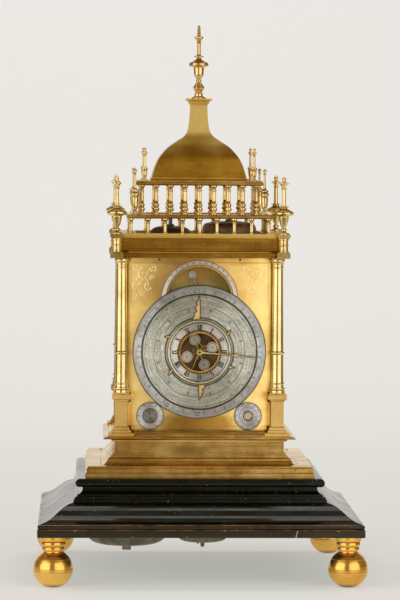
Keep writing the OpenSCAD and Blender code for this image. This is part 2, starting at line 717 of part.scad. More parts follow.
// One baluster of the upper gallery, with its bulb low down
module high_baluster() {
    h = high_baluster_h;
    turned(concat([[0, 0], [3, 0], [3, 1.2], [2, 1.9], [1.7, 2.8]],
        arc([1.1, 5], 2.2, -65, 65, 4), [[1.8, 7.2]], arc([1.1, 9], 2, -60, 60, 4),
        [[1.9, 11.2], [2.3, 11.8], [1.7, 12.6], [2.1, 13.2], [1.9, h - 6], [2.4, h - 5.4],
        [2.4, h - 4.6], [1.9, h - 4], [2.2, h - 2.4], [3.2, h - 1], [3.2, h], [0, h]]));
}
// Copies around a rectangle at a half width u, so many across the front
module around(u, count) {
    pitch = 2 * u / (count - 1);
    deep = round(2 * (u - plan_cut) / pitch);
    for (i = [0:count - 1], y = [-1, 1]) translate([i * pitch - u, y * (u - plan_cut), 0]) children();
    for (j = [1:deep - 1], x = [-1, 1])
        translate([x * u, (2 * j / deep - 1) * (u - plan_cut), 0]) children();
}
module lower_balusters() {
    color(gold) translate([0, 0, z_gallery]) around(low_row_u, low_count) low_baluster();
}
// Rail between the two galleries
module middle_rail() {
    color(gilt) mitred([[high_row_u - 4.2, z_rail], [mid_rail_u - 1.2, z_rail],
        [mid_rail_u, z_rail + 1.2], [mid_rail_u, z_high - 1], [mid_rail_u - 0.9, z_high],
        [high_row_u - 4.2, z_high]]);
}
module upper_balusters() {
    color(gold) translate([0, 0, z_high]) around(high_row_u, high_count) high_baluster();
}
// Eave plate that closes the upper gallery
module eave_plate() {
    u = eave_u;
    side = [[u - 1.4, 0], [u, 1], [u, eave_t - 2], [u - 0.8, eave_t - 1.6],
        [u - 0.8, eave_t - 0.5], [u - 1.3, eave_t]];
    color(gilt) both_ways(side, drawn_in(side, 1), z_eave);
}
// Small finials: on the middle rail a long urn, a bulb and a spire, on the eave plate a lighter one
module gallery_finials() {
    color(gold) corners(mid_rail_u - 8) translate([0, 0, z_high]) turned(concat(
        [[0, 0], [3.3, 0], [3.3, 0.8], [1.6, 1.6], [1.4, 2.4], [2.3, 3.4], [1.7, 4.2]],
        smooth([[1.7, 4.4], [2.8, 8], [3.5, 16.5]], 3), [[2.9, 17.2]],
        arc([1.8, 19.6], 2.5, -60, 70, 5), [[3.9, 22.4], [3.9, 23.2], [2.2, 24.4], [1.3, 26],
        [0.9, 38.8], [1.7, 39.5], [1.1, 40.3]], arc([0.4, 42.6], 1.6, -60, 85, 4), [[0, 45.4]]));
    color(gold) corners(eave_u - 9) translate([0, 0, z_dome]) turned(concat(
        [[0, 0], [3, 0], [3, 0.8], [1.5, 1.5], [1.3, 2]],
        smooth([[1.3, 2.2], [2, 5.4], [2.4, 9.4]], 3), [[2, 10]],
        arc([1.3, 11.6], 1.7, -50, 60, 4), [[1.2, 13.8], [1, 24], [1.8, 24.6], [1.1, 25.2],
        [2.4, 27.2], [2.4, 27.8], [1.1, 28.6]], arc([0.3, 30.4], 1.3, -55, 85, 4), [[0, 32.8]]));
}

// Solid whose sections are rectangles, from its side lines across and along
module both_ways(across, along, z) {
    reach = 3 * eave_u;
    translate([0, 0, z]) intersection() {
        rotate([90, 0, 0]) linear_extrude(reach, center = true) polygon(symmetric(across));
        rotate([90, 0, 90]) linear_extrude(reach, center = true) polygon(symmetric(along));
    }
}
// Side line moved in by the plan's difference at its foot, and by a share of it higher up
function drawn_in(p, share) = [for (q = p) share == 1 ? [q[0] - plan_cut, q[1]]
    : [neck_of_dome_u + (q[0] - neck_of_dome_u) * share, q[1]]];
// Closed outline from one side's points
function symmetric(p) = concat(p, [for (i = [len(p) - 1:-1:0]) [-p[i][0], p[i][1]]]);
// Side line of the dome: a foot moulding, then the ogee up to the neck
function dome_line(t) =
    let (u = dome_u - t, n = neck_of_dome_u - t, h = dome_h - t, w = u - n)
    smooth([[u - 0.05 * w, 0.085 * h], [n + 0.89 * w, 0.188 * h], [n + 0.8 * w, 0.29 * h],
        [n + 0.68 * w, 0.373 * h], [n + 0.525 * w, 0.455 * h], [n + 0.29 * w, 0.537 * h],
        [n + 0.137 * w, 0.597 * h], [n + 0.042 * w, 0.7 * h], [n, 0.926 * h], [n, h]], 4);
// Ogee dome of thin sheet over its foot moulding
module dome() {
    share = (dome_u - plan_cut - neck_of_dome_u) / (dome_u - neck_of_dome_u);
    outside = concat([[dome_u, 0], [dome_u, 2.4], [dome_u - 1.3, 3], [dome_u - 1.3, 4.2]],
        dome_line(0));
    inside = concat([[dome_u - 3.6, -1], [dome_u - 3.6, 4]], dome_line(dome_t));
    color(gilt) difference() {
        both_ways(outside, drawn_in(outside, share), z_dome);
        both_ways(inside, drawn_in(inside, share * 0.99), z_dome);
    }
}
// Moulded square cap on the dome's neck
module dome_cap() {
    n = neck_of_dome_u;
    h = cap_h;
    side = concat([[n + 0.3, 0], [n + 0.3, 1.2], [n + 1.2, 1.6]],
        arc([n + 4.4, 1.6], 3.2, 180, 100, 4), [[n + 4.6, h - 2], [n + 4.6, h - 0.4], [n + 4, h]]);
    color(gilt) both_ways(side, side, z_cap);
}
// Top finial: flared foot, sharp knop, urn with a round rim, lid, shaft and pine cone
module top_finial() {
    tip = 72.8;
    line = concat([[0, 0], [7.4, 0], [7.2, 0.8], [4.3, 2.4], [4.1, 4.6], [4.3, 5.2], [3, 5.8],
        [3.2, 6.4], [5.2, 9], [5.8, 10.6], [5.2, 12.2], [3.2, 14.8],
        [2.1, 16], [2.9, 16.9], [2.9, 17.7], [2.2, 18.4]],
        smooth([[2.5, 19], [4, 21.6], [4.8, 24.4], [5.3, 30.6]], 3),
        arc([7.6, 33.5], 2.3, -100, 75, 7), [[6, 36.6], [3, 38.6], [2.2, 39.8],
        [2.2, 40.6], [4.9, 41], [5, 41.7], [2.4, 42.5], [1.8, 43.6], [1.8, 54]],
        arc([1.7, 55], 0.8, -90, 90, 4), [[1.9, 56.4], [3.3, 58.2], [4.6, 60], [4.6, 61],
        [2.2, 61.8], [1.6, 62.6]],
        [for (i = [0:3], a = [-60, 0, 60]) polar([0.9 - i * 0.12, 64 + i * 2.1], 1.2, a)], [[0, tip]]);
    color(gold) translate([0, 0, z_finial]) turned([for (q = line) [q[0], q[1] * top_finial_h / tip]]);
}

// Outline of a bell's wall in half section, crown up, rim at height 0
function bell_side(r, h, crown) = smooth([[r, 0], [r - 0.9, h * 0.12], [r * 0.94, h * 0.5],
    [r * crown, h * 0.86], [r * crown * 0.55, h * 0.985], [stud_r, h]], 4);
// Bell of even wall, bored for its post
module bell(r, h, crown) {
    wall = bell_t;
    outside = bell_side(r, h, crown);
    inside = bell_side(r - wall, h - wall, crown);
    turned(concat(outside, [for (i = [len(inside) - 1:-1:0]) inside[i]]));
}
module hour_bell() {
    color(bronze) translate([bell_places[0][0], bell_places[0][1], z_well + bell_lift])
        bell(hour_bell_r, hour_bell_h, 0.84);
}
module quarter_bell() {
    color(bronze) translate([bell_places[1][0], bell_places[1][1], z_well + bell_lift])
        bell(quarter_bell_r, quarter_bell_h, 0.72);
}
// Posts that carry the bells, with a shoulder under each crown and a nut over it
module bell_posts() {
    heights = [hour_bell_h, quarter_bell_h];
    color(steel) for (i = [0, 1]) translate([bell_places[i][0], bell_places[i][1], z_well - 2]) {
        top = bell_lift + heights[i] + 2;
        cylinder(h = low_baluster_h + well_depth + 1, r = stud_r);
        translate([0, 0, 2]) cylinder(h = 3, r = stud_r + 2);
        translate([0, 0, top - bell_t - 2]) cylinder(h = 2, r = stud_r + 1.5);
        translate([0, 0, top]) cylinder(h = 1.8, r = stud_r + 1.8, $fn = 6);
    }
}
// Hammer: upright arbor in the well's floor, an arm above with its head, a tail below
module hammer(place, head_at) {
    arm = [head_at[0] - place[0], head_at[1] - place[1]];
    len = norm(arm);
    translate([place[0], place[1], z_well]) {
        translate([0, 0, -14]) cylinder(h = 22, r = hammer_arbor_r);
        translate([0, 0, 0.15]) cylinder(h = 3, r = 2.8);
        translate([0, 0, -5.15]) cylinder(h = 3, r = 2.8);
        rotate([0, 0, atan2(arm[1], arm[0])]) {
            translate([0, -1, 5]) cube([len, 2, 2]);
            translate([len, 0, 6]) rotate([0, 90, 90]) translate([0, 0, -3.4])
                turned([[0, 0], [2.2, 0], [2.6, 0.6], [2.6, 4.8], [1.6, 6.4], [0, 6.8]]);
            translate([-8, -0.9, -13]) cube([9, 1.8, 1.8]);
        }
    }
}
// Place of a hammer's head, off the bell's rim at an angle in plan
function head_place(bell_at, r, a) = polar(bell_at, r + 4.6, a);
module hour_hammer() {
    color(steel) hammer(hammer_places[0], head_place(bell_places[0], hour_bell_r, 130));
}
module quarter_hammer() {
    color(steel) hammer(hammer_places[1], head_place(bell_places[1], quarter_bell_r, -50));
}
// Bells under the plinth, hung mouth up on studs from the top board, with a nut and a pin
module base_bells() {
    radii = [base_bell_r, small_base_bell_r];
    color(bronze) for (i = [0, 1]) {
        translate([base_bell_places[i][0], base_bell_places[i][1], base_bell_zs[i]]) {
            h = radii[i] * 0.6;
            mirror([0, 0, 1]) translate([0, 0, -h]) bell(radii[i], h, 0.78);
            translate([0, 0, -4]) cylinder(h = z_gilt - base_bell_zs[i] + 4, r = stud_r);
            translate([0, 0, bell_t]) cylinder(h = 3, r = stud_r + 2);
            if (i == 0) translate([-4.3, -4.3, -5.2]) cube([8.6, 8.6, 5.2]);
            else {
                translate([0, 0, -5.2]) cylinder(h = 5.2, r = 1.4);
                translate([-4.6, 0, -2.4]) cylinder(h = 3, r = 0.8);
            }
        }
    }
}

// Fixed ring around the calendar disc, with its rivets
module date_ring() {
    color(silver) union() {
        translate([0, 0, z_dial]) slice(dial_face - 1.5, dial_face) difference() {
            circle(date_ring_r);
            circle(date_ring_r - date_ring_band);
        }
        for (a = [-90, -122, 20, 160]) bar(polar(dial_at, date_ring_r - date_ring_band / 2, a),
            dial_face - 1.8, dial_face - 1, 0.9);
    }
}
// Arch ring and the two small dials' rings, laid on the dial plate
module plate_rings() {
    color(silver) {
        slice(dial_face - 1.2, dial_face) difference() {
            translate([0, z_dial + arch_rise]) circle(arch_r);
            translate([0, z_dial + arch_rise]) circle(arch_in_r);
            translate(dial_at) circle(date_ring_r + 0.3);
        }
        for (s = [-1, 1]) slice(dial_face - 1.2, dial_face) translate([s * small_dial_x,
            z_dial - small_dial_drop]) difference() {
            circle(small_dial_r);
            circle(s < 0 ? small_ring_r : small_arbor_r + running_fit);
        }
        for (s = [-1, 1]) bar([s * pin_x, z_entab - 1.8], dial_face - 0.4, dial_face + plate_t, pin_r);
    }
}
// Pipe number k with its wheel behind the dial plate
module dial_pipe(k, front) {
    n = dial_ns[k];
    y = dial_gear_y(k);
    toward = heading(dial_at, second_at);
    difference() {
        union() {
            bar(dial_at, front, y + dial_gear_t, pipe_r(k));
            wheel(dial_at, y, y + dial_gear_t, n, coarse_m, toward, 4, pipe_r(k) + 1.4);
        }
        if (k > 0) bar(dial_at, front - 1, y + dial_gear_t + 1, pipe_bore(k));
    }
}
// Engraved calendar disc on the outermost pipe
module calendar_disc() {
    color(silver) union() {
        dial_pipe(5, dial_face - 1.6);
        translate([0, 0, z_dial]) slice(dial_face - 1.6, dial_face - 0.4) difference() {
            circle(date_ring_r - date_ring_band - 0.3);
            circle(pipe_r(5) - 0.3);
        }
    }
}
// Flame-shaped pointer: one straight edge, one edge of licks, from the ring to a length
module flame(len) {
    k = (len - 30) / 24.2;
    polygon([for (p = [[0.5, 30], [0.5, 44], [-0.2, 54.2], [-0.9, 52.6], [-1, 49.8], [-2.9, 48.4],
        [-1.9, 45.4], [-4.1, 43.6], [-2.4, 39.8], [-5.4, 37], [-4.6, 35], [-6.3, 33.6],
        [-6.3, 31.4], [-5, 30]]) [p[0], 30 + (p[1] - 30) * k]]);
}
// Raised ring with two flame pointers and four leaf hooks, on thin spokes
module pointer_ring() {
    r = pointer_ring_r;
    in_r = r - pointer_ring_band;
    color(gold) union() {
        dial_pipe(4, dial_face - 2.5);
        translate([0, 0, z_dial]) {
            slice(dial_face - 2.5, dial_face - 1.9) difference() {
                for (i = [0:3]) rotate(45 + 90 * i) translate([0, -1.2]) square([r - 1, 2.4]);
                circle(pipe_r(4) - 0.3);
            }
            translate([0, dial_face - 1.9, 0]) rotate([90, 0, 0]) rotate_extrude()
                polygon(concat([[in_r, 0], [r, 0]],
                    arc([(r + in_r) / 2, 0.5], pointer_ring_band / 2, 12, 168, 8)));
            slice(dial_face - 2.8, dial_face - 2) {
                flame(54.9);
                rotate(180) flame(46.8);
                for (a = [32, 153, 214, 333]) rotate(a) polygon([[r - 1, -1.4], [r + 1.4, -0.9],
                    [r + 3, 0.2], [r + 5.2, 2.4], [r + 2.6, 2.2], [r + 0.8, 1.5], [r - 1, 1.4]]);
            }
        }
    }
}
// Fixed hour ring on its ground, carried by a pipe in the bridge
module hour_ring() {
    color(silver) difference() {
        union() {
            bar(dial_at, dial_face - 3.4, dial_gear_y(3) + bridge_t, pipe_r(3));
            translate([0, 0, z_dial]) {
                slice(dial_face - 3.4, dial_face - 2.8) circle(pointer_ring_r - pointer_ring_band - 0.3);
                slice(dial_face - 4, dial_face - 3.3) difference() {
                    circle(pointer_ring_r - pointer_ring_band - 0.3);
                    circle(hour_ring_r);
                }
            }
        }
        bar(dial_at, dial_face - 5, dial_gear_y(3) + bridge_t + 1, pipe_bore(3));
    }
}
// Toothed ring of the aspect wheel, with thin arms and a curved anchor
module aspect_wheel() {
    r = hour_ring_r - 0.1;
    n = 60;
    color(gold) difference() {
        union() {
            dial_pipe(2, dial_face - 5.1);
            translate([0, 0, z_dial]) slice(dial_face - 5.1, dial_face - 4.3) {
                difference() {
                    gear_2d(n, r / (n / 2 + 0.85), 0);
                    circle(r - aspect_band);
                }
                for (i = [0:3]) rotate(roundel_turn + 90 * i) translate([0, -0.6])
                    square([r - aspect_band + 0.5, 1.2]);
                rotate(roundel_turn + 45) {
                    translate([0, -0.5]) square([7, 1]);
                    intersection() {
                        translate([12.4, 0]) difference() {
                            circle(6);
                            circle(5);
                        }
                        translate([0, -8]) square([11.5, 16]);
                    }
                }
                circle(pipe_r(2) + 1.2);
            }
        }
        bar(dial_at, dial_face - 6, dial_face, pipe_bore(2));
    }
}
// Four engraved roundels riveted to the aspect wheel
module roundels() {
    color(silver) translate([0, 0, z_dial]) slice(dial_face - 5.7, dial_face - 5.1)
        for (i = [0:3]) rotate(roundel_turn + 90 * i) translate([roundel_at, 0]) circle(roundel_r);
}
// Main hand with a pierced boss and a knot, on the innermost arbor
module main_hand() {
    len = main_hand_len;
    color(gold) union() {
        dial_pipe(0, dial_face - 7.8);
        bar(dial_at, dial_gear_y(0), -move_y, pipe_r(0));
        translate([0, 0, z_dial]) slice(dial_face - 7.6, dial_face - 6.8) rotate(-5) {
            circle(2.9);
            polygon([[-2.4, -1.1], [2, -1.3], [8, -0.8], [len * 0.59, -0.6], [len * 0.61, -1.3],
                [len * 0.65, -1.8], [len * 0.69, -0.7], [len, -0.15], [len, 0.15],
                [len * 0.69, 0.7], [len * 0.65, 1.8], [len * 0.61, 1.3], [len * 0.59, 0.6],
                [8, 0.8], [2, 1.3], [-2.4, 1.1]]);
        }
    }
}
// Thin hand on its own pipe
module thin_hand() {
    len = thin_hand_len;
    color(gold) difference() {
        union() {
            dial_pipe(1, dial_face - 6.4);
            translate([0, 0, z_dial]) slice(dial_face - 6.4, dial_face - 5.9) rotate(-114) {
                circle(2.4);
                polygon([[0, -0.6], [len, -0.2], [len, 0.2], [0, 0.6]]);
            }
        }
        bar(dial_at, dial_face - 7, dial_face, pipe_bore(1));
    }
}
// Recessed ground of the arch with a rim that lines the opening
module arch_ground() {
    r = arch_in_r - 1.2;
    color(gilt) translate([0, 0, z_dial + arch_rise]) {
        slice(dial_back, dial_back + 0.6) difference() {
            circle(r + 1.2);
            circle(small_arbor_r + running_fit);
        }
        slice(dial_face, dial_back) difference() {
            circle(r);
            circle(r - 1);
        }
    }
}
// Small disc on an arm, which swings in the recess of the arch
module moon_pointer() {
    at = [0, z_dial + arch_rise];
    color(silver) union() {
        bar(at, dial_face + 0.5, dial_back + 1.5, small_arbor_r);
        bar(at, dial_back + 0.7, dial_back + 1.3, small_arbor_r + 1.2);
        translate([0, 0, at[1]]) slice(dial_face + 0.6, dial_face + 1.2) rotate(107) {
            circle(2.4);
            polygon([[0, -0.8], [22, -0.35], [22, 0.35], [0, 0.8]]);
        }
        translate([0, 0, at[1]]) slice(dial_face + 0.3, dial_face + 1.3) rotate(107)
            translate([24.5, 0]) circle(3.8);
    }
}
// Turning disc of the left small dial
module age_disc() {
    at = [-small_dial_x, z_dial - small_dial_drop];
    color(silver) union() {
        bar(at, dial_face - 1.1, dial_face - 0.3, small_ring_r - 0.2);
        bar(at, dial_face - 0.5, dial_back + 1.4, small_arbor_r);
        bar(at, dial_back + 0.2, dial_back + 1.2, small_arbor_r + 1.2);
    }
}
// Small hand of the right small dial
module alarm_hand() {
    at = [small_dial_x, z_dial - small_dial_drop];
    color(gold) union() {
        bar(at, dial_face - 2.2, dial_back + 1.4, small_arbor_r);
        bar(at, dial_back + 0.2, dial_back + 1.2, small_arbor_r + 1.2);
        translate([at[0], 0, at[1]]) slice(dial_face - 2.1, dial_face - 1.4) {
            circle(2.6);
            polygon([[0, -2.4], [4.4, -0.5], [6, 0], [4.4, 0.5], [0, 2.4]]);
        }
    }
}

// Movement plates on pillars, the dial bridge and the cocks of the verge
module movement_plates() {
    bore = arbor_r + running_fit;
    arbors = [second_at, third_at, pins_at, fly_at, going_at];
    cock_y = third_y + 6;
    y = move_y;
    verge_at = [crown_at[0], verge_y];
    color(gilt) union() {
        for (side = [-1, 1]) slice(side < 0 ? -y - move_t : y, side < 0 ? -y : y + move_t)
            difference() {
                translate([-move_half_w, z_tower]) square([2 * move_half_w, move_h]);
                for (at = arbors) translate(at) circle(bore);
                for (at = [fusee_at, strike_at]) translate(at) circle(arbor_r + 0.9 + running_fit);
                if (side < 0) translate(dial_at) circle(pipe_r(0) + running_fit);
                else translate(crown_at) circle(bore);
                for (x = [-1, 1]) translate([x * (move_half_w - 18), z_tower + move_h - 34])
                    circle(side > 0 ? 9 : 0.5);
            }
        for (x = [-1, 1], z = [7, move_h - 7])
            bar([x * (move_half_w - 7), z_tower + z], -y, y, 3);
        for (x = [-1, 1])
            bar([x * 32, z_dial], dial_gear_y(3) + bridge_t, -y - move_t, 2.5);
        slice(dial_gear_y(3), dial_gear_y(3) + bridge_t) difference() {
            translate([-35, z_dial - 8]) square([70, 19]);
            translate(dial_at) circle(pipe_r(3));
            translate(second_at) circle(arbor_r + 0.5);
        }
        for (z = [crown_at[1] - 18, crown_at[1] + 13.4]) difference() {
            translate([crown_at[0] - 3, -y - move_t, z]) cube([6, y + move_t + verge_y + 3, 2.4]);
            translate([verge_at[0], verge_at[1], z - 1]) cylinder(h = 5, r = verge_r + running_fit);
        }
        slice(cock_y, cock_y + 1.6) translate(crown_at) difference() {
            translate([-11, -4]) square([22, 12]);
            circle(bore);
        }
        for (x = [-9, 9]) bar([crown_at[0] + x, crown_at[1] + 5], cock_y + 1, y + 1, 1.6);
        translate([crown_at[0] - 3, -y - move_t, z_tower + move_h - 1])
            cube([6, move_t, crown_at[1] + 15.8 - z_tower - move_h + 1]);
    }
}
// Pinion between y0 and y1, with a gap of its teeth turned towards its wheel
module pinion(at, y0, y1, m, toward) {
    wheel(at, y0, y1, pinion_n, m, toward + 180 + 180 / pinion_n, 0);
}
// Mainspring barrel of the going side on its arbor
module going_barrel() {
    color(gilt) union() {
        bar(going_at, -move_y - move_t, move_y + move_t, arbor_r);
        bar(going_at, -20, 20, barrel_r);
        for (y = [-20.8, 19.2]) bar(going_at, y, y + 1.6, barrel_r + 0.8);
    }
}
// Fusee: grooved cone with the great wheel and a winding square
module fusee() {
    turns = 8;
    y0 = -12;
    y1 = great_y - 1;
    step = (y1 - y0) / turns;
    small_r = 7;
    color(gilt) union() {
        bar(fusee_at, -move_y - move_t, move_y + move_t, arbor_r + 0.9);
        translate([fusee_at[0], y1, fusee_at[1]]) rotate([90, 0, 0]) turned(concat([[0, 0]],
            [for (i = [0:turns - 1]) let (r = barrel_r - (barrel_r - small_r) * i / (turns - 1)) each [
                [r, i * step], [r, i * step + 0.8], [r - 1.4, i * step + step * 0.35],
                [r - 1.4, i * step + step * 0.7]]],
            [[small_r, y1 - y0 - 0.8], [small_r, y1 - y0], [0, y1 - y0]]));
        wheel(fusee_at, great_y - 1, great_y + 2, great_n, coarse_m, heading(fusee_at, second_at), 0);
        winding_square(fusee_at);
    }
}
// Square end of a winding arbor behind the back movement plate
module winding_square(at) {
    translate([at[0] - 1.6, move_y + move_t - 1, at[1] - 1.6]) cube([3.2, plate_y - move_y - move_t - 2, 3.2]);
}
// Second arbor: pinion, wheel and the cluster that drives the dial pipes
module second_wheel() {
    color(gilt) union() {
        bar(second_at, dial_back + 0.3, move_y + move_t, arbor_r);
        pinion(second_at, great_y - 3, great_y + 4, coarse_m, heading(fusee_at, second_at));
        wheel(second_at, second_y, second_y + 1.5, second_n, fine_m, heading(second_at, third_at), 4, 4);
        for (k = [0, 1, 2, 4, 5]) {
            n = dial_sum - dial_ns[k];
            wheel(second_at, dial_gear_y(k) - 0.15, dial_gear_y(k) + dial_gear_t + 0.15, n, coarse_m,
                heading(dial_at, second_at) + 180 + 180 / n, 0);
        }
    }
}
module third_wheel() {
    color(gilt) union() {
        bar(third_at, -move_y - move_t, move_y + move_t, arbor_r);
        pinion(third_at, second_y - 2, second_y + 4, fine_m, heading(second_at, third_at));
        wheel(third_at, third_y, third_y + 1.5, third_n, fine_m, heading(third_at, crown_at), 4, 3.4);
    }
}
// Crown wheel: saw teeth that stand out of its rim towards the verge
module crown_wheel() {
    rim = 5;
    tooth = 3;
    color(gilt) union() {
        bar(crown_at, crown_y + 1, move_y + move_t, arbor_r);
        pinion(crown_at, third_y - 2, third_y + 4, fine_m, heading(third_at, crown_at));
        translate([crown_at[0], 0, crown_at[1]]) difference() {
            union() {
                slice(crown_y + tooth, crown_y + rim + tooth) circle(crown_r);
                slice(crown_y, crown_y + rim) circle(crown_r);
            }
            translate([0, crown_y - 1, 0]) rotate([-90, 0, 0]) cylinder(h = rim + 1, r = crown_r - 1.2);
            for (i = [0:escape_n - 1]) rotate([0, i * 360 / escape_n, 0]) translate([0, crown_y, 0])
                linear_extrude(crown_r + 1) polygon([[-2.2, -0.1], [1.9, -0.1], [1.9, tooth]]);
            translate([0, crown_y + rim - 0.1, 0]) slice(0, tooth + 1) difference() {
                circle(crown_r - 2.4);
                circle(3.2);
                for (i = [0:2]) rotate(i * 120 + 30) translate([0, -0.9]) square([crown_r, 1.8]);
            }
        }
    }
}
// Verge with two pallets, and the balance ring on its top
module balance() {
    at = [crown_at[0], verge_y];
    low = crown_at[1] - 19.5;
    color(steel) translate([at[0], at[1], 0]) union() {
        translate([0, 0, low]) cylinder(h = balance_z + 3 - low, r = verge_r);
        for (k = [-1, 1]) rotate([0, 0, k * 48]) translate([0, -0.4, crown_at[1] + k * (crown_r - 0.8) - 1.5])
            cube([2.1, 0.8, 3]);
        translate([0, 0, low - 0.9]) cylinder(h = 1, r = verge_r + 0.9);
        translate([0, 0, balance_z]) linear_extrude(1.6) union() {
            difference() {
                circle(balance_r);
                circle(balance_r - 1.8);
            }
            translate([-balance_r + 1, -0.8]) square([2 * balance_r - 2, 1.6]);
            circle(2.4);
        }
    }
}
// Barrel of the striking side with its great wheel and a winding square
module strike_barrel() {
    color(gilt) union() {
        bar(strike_at, -move_y - move_t, move_y + move_t, arbor_r + 0.9);
        bar(strike_at, -22, 18, barrel_r);
        for (y = [-22.8, 17.2]) bar(strike_at, y, y + 1.6, barrel_r + 0.8);
        wheel(strike_at, strike_y, strike_y + 2.4, strike_n, coarse_m, heading(strike_at, pins_at), 4, 6);
        bar(strike_at, strike_y, -22, 5);
        winding_square(strike_at);
    }
}
// Pin wheel whose pins lift the hammer tails
module pin_wheel() {
    color(gilt) union() {
        bar(pins_at, -move_y - move_t, move_y + move_t, arbor_r);
        pinion(pins_at, strike_y - 2, strike_y + 4, coarse_m, heading(strike_at, pins_at));
        wheel(pins_at, pins_y, pins_y + 1.5, pins_n, fine_m, heading(pins_at, fly_at), 4, 3.4);
        for (i = [0:7]) bar(polar(pins_at, fine_m * (pins_n / 2 - 2.6), i * 45), pins_y - 3.6,
            pins_y + 0.1, 0.7);
    }
}
// Fly: a wide two-bladed fan that slows the striking
module fly() {
    color(gilt) union() {
        bar(fly_at, -move_y - move_t, move_y + move_t, arbor_r);
        pinion(fly_at, pins_y - 2, pins_y + 4, fine_m, heading(pins_at, fly_at));
        translate([fly_at[0] - 9, -14, fly_at[1] - 0.5]) cube([18, 30, 1]);
        for (y = [-16, 16]) bar(fly_at, y - 1, y + 1, 2.6);
    }
}

plinth_slab();
plinth_ogee();
plinth_neck();
plinth_board();
ball_feet();
gilt_base_lower();
gilt_base_upper();
tower_floor();
base_skirt();
pedestals();
columns();
corner_angles();
dial_plate();
back_plate();
left_door();
right_door();
hinge_pins();
left_latch();
right_latch();
entablature();
corner_drums();
corner_finials();
bell_floor();
lower_balusters();
middle_rail();
upper_balusters();
gallery_finials();
eave_plate();
dome();
dome_cap();
top_finial();
hour_bell();
quarter_bell();
bell_posts();
hour_hammer();
quarter_hammer();
base_bells();
date_ring();
plate_rings();
calendar_disc();
pointer_ring();
hour_ring();
aspect_wheel();
roundels();
main_hand();
thin_hand();
arch_ground();
moon_pointer();
age_disc();
alarm_hand();
movement_plates();
going_barrel();
fusee();
second_wheel();
third_wheel();
crown_wheel();
balance();
strike_barrel();
pin_wheel();
fly();
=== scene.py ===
import math
import random

import bpy
from mathutils import Matrix, Vector


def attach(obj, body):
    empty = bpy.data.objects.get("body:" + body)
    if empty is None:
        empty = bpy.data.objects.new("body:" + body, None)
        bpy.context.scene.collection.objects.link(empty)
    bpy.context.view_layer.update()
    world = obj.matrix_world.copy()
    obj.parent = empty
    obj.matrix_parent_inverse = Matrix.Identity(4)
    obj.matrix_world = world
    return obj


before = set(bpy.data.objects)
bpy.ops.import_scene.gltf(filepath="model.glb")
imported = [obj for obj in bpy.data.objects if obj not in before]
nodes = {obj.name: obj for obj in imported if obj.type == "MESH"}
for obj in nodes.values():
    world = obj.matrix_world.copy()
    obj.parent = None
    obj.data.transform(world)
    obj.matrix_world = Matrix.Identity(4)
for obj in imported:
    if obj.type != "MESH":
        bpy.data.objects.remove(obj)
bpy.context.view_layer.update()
random.seed(11)
MM = 0.001


# Places on the clock, in mm
def reach(name, axis):
    """The lowest and the highest coordinate of a node along an axis."""
    values = [vertex.co[axis] / MM for vertex in nodes[name].data.vertices]
    return round(min(values), 3), round(max(values), 3)


def front(name):
    """The y of a node's foremost point."""
    return reach(name, 1)[0]


def centre_of(name):
    """The middle (x, z) of a node's outline, seen from the front."""
    return tuple(round(sum(reach(name, axis)) / 2, 1) for axis in (0, 2))


# The date ring is 1.5 thick, and its pins stand before it. LIFT is how far lines lie before their metal.
FACE = front("dial_plate")
DATE_FACE = FACE - 1.5
LIFT = 0.03
DIAL = centre_of("date_ring")
ARCH = (0.0, 273.1)
LEFT_SMALL = centre_of("age_disc")
SMALL = (LEFT_SMALL, (-LEFT_SMALL[0], LEFT_SMALL[1]))

# Radii of the engraved circles and tracks, in mm
DATE_IN, DATE_NUMERALS, DATE_TRACK, DATE_OUT = 56.7, 59.3, 61.6, 64.0
CALENDAR_IN, CALENDAR_OUT = 33.6, 55.6
DAY_TRACK, DAY_NUMERALS = (51.5, 55.1), 52.8
WRITING_OUT = 50.2
WEEK_TRACK, MONTH_NUMERALS = (44.1, 45.0), 41.6
MOON_TRACK = (38.0, 39.1)
HOUR_NUMERALS, HOUR_TRACK = 24.4, (27.3, 28.2)
GROUND_IN, GROUND_OUT = 7.5, 21.3
ARCH_TRACK, ARCH_NUMERALS = (33.0, 36.6), 35.4
SMALL_NUMERALS = 11.4
AGE_TRACK = (4.6, 7.2)
POINTER_IN, POINTER_SILVER, POINTER_GROOVE, POINTER_OUT = 28.4, 29.8, 31.2, 32.6
ASPECT_RIM = 18.3
ROUNDEL_PLACE, ROUNDEL_TURN = 13.1, 20.6
DATE_PINS, DATE_PIN_ANGLES = 60.75, (-92, -121.5)


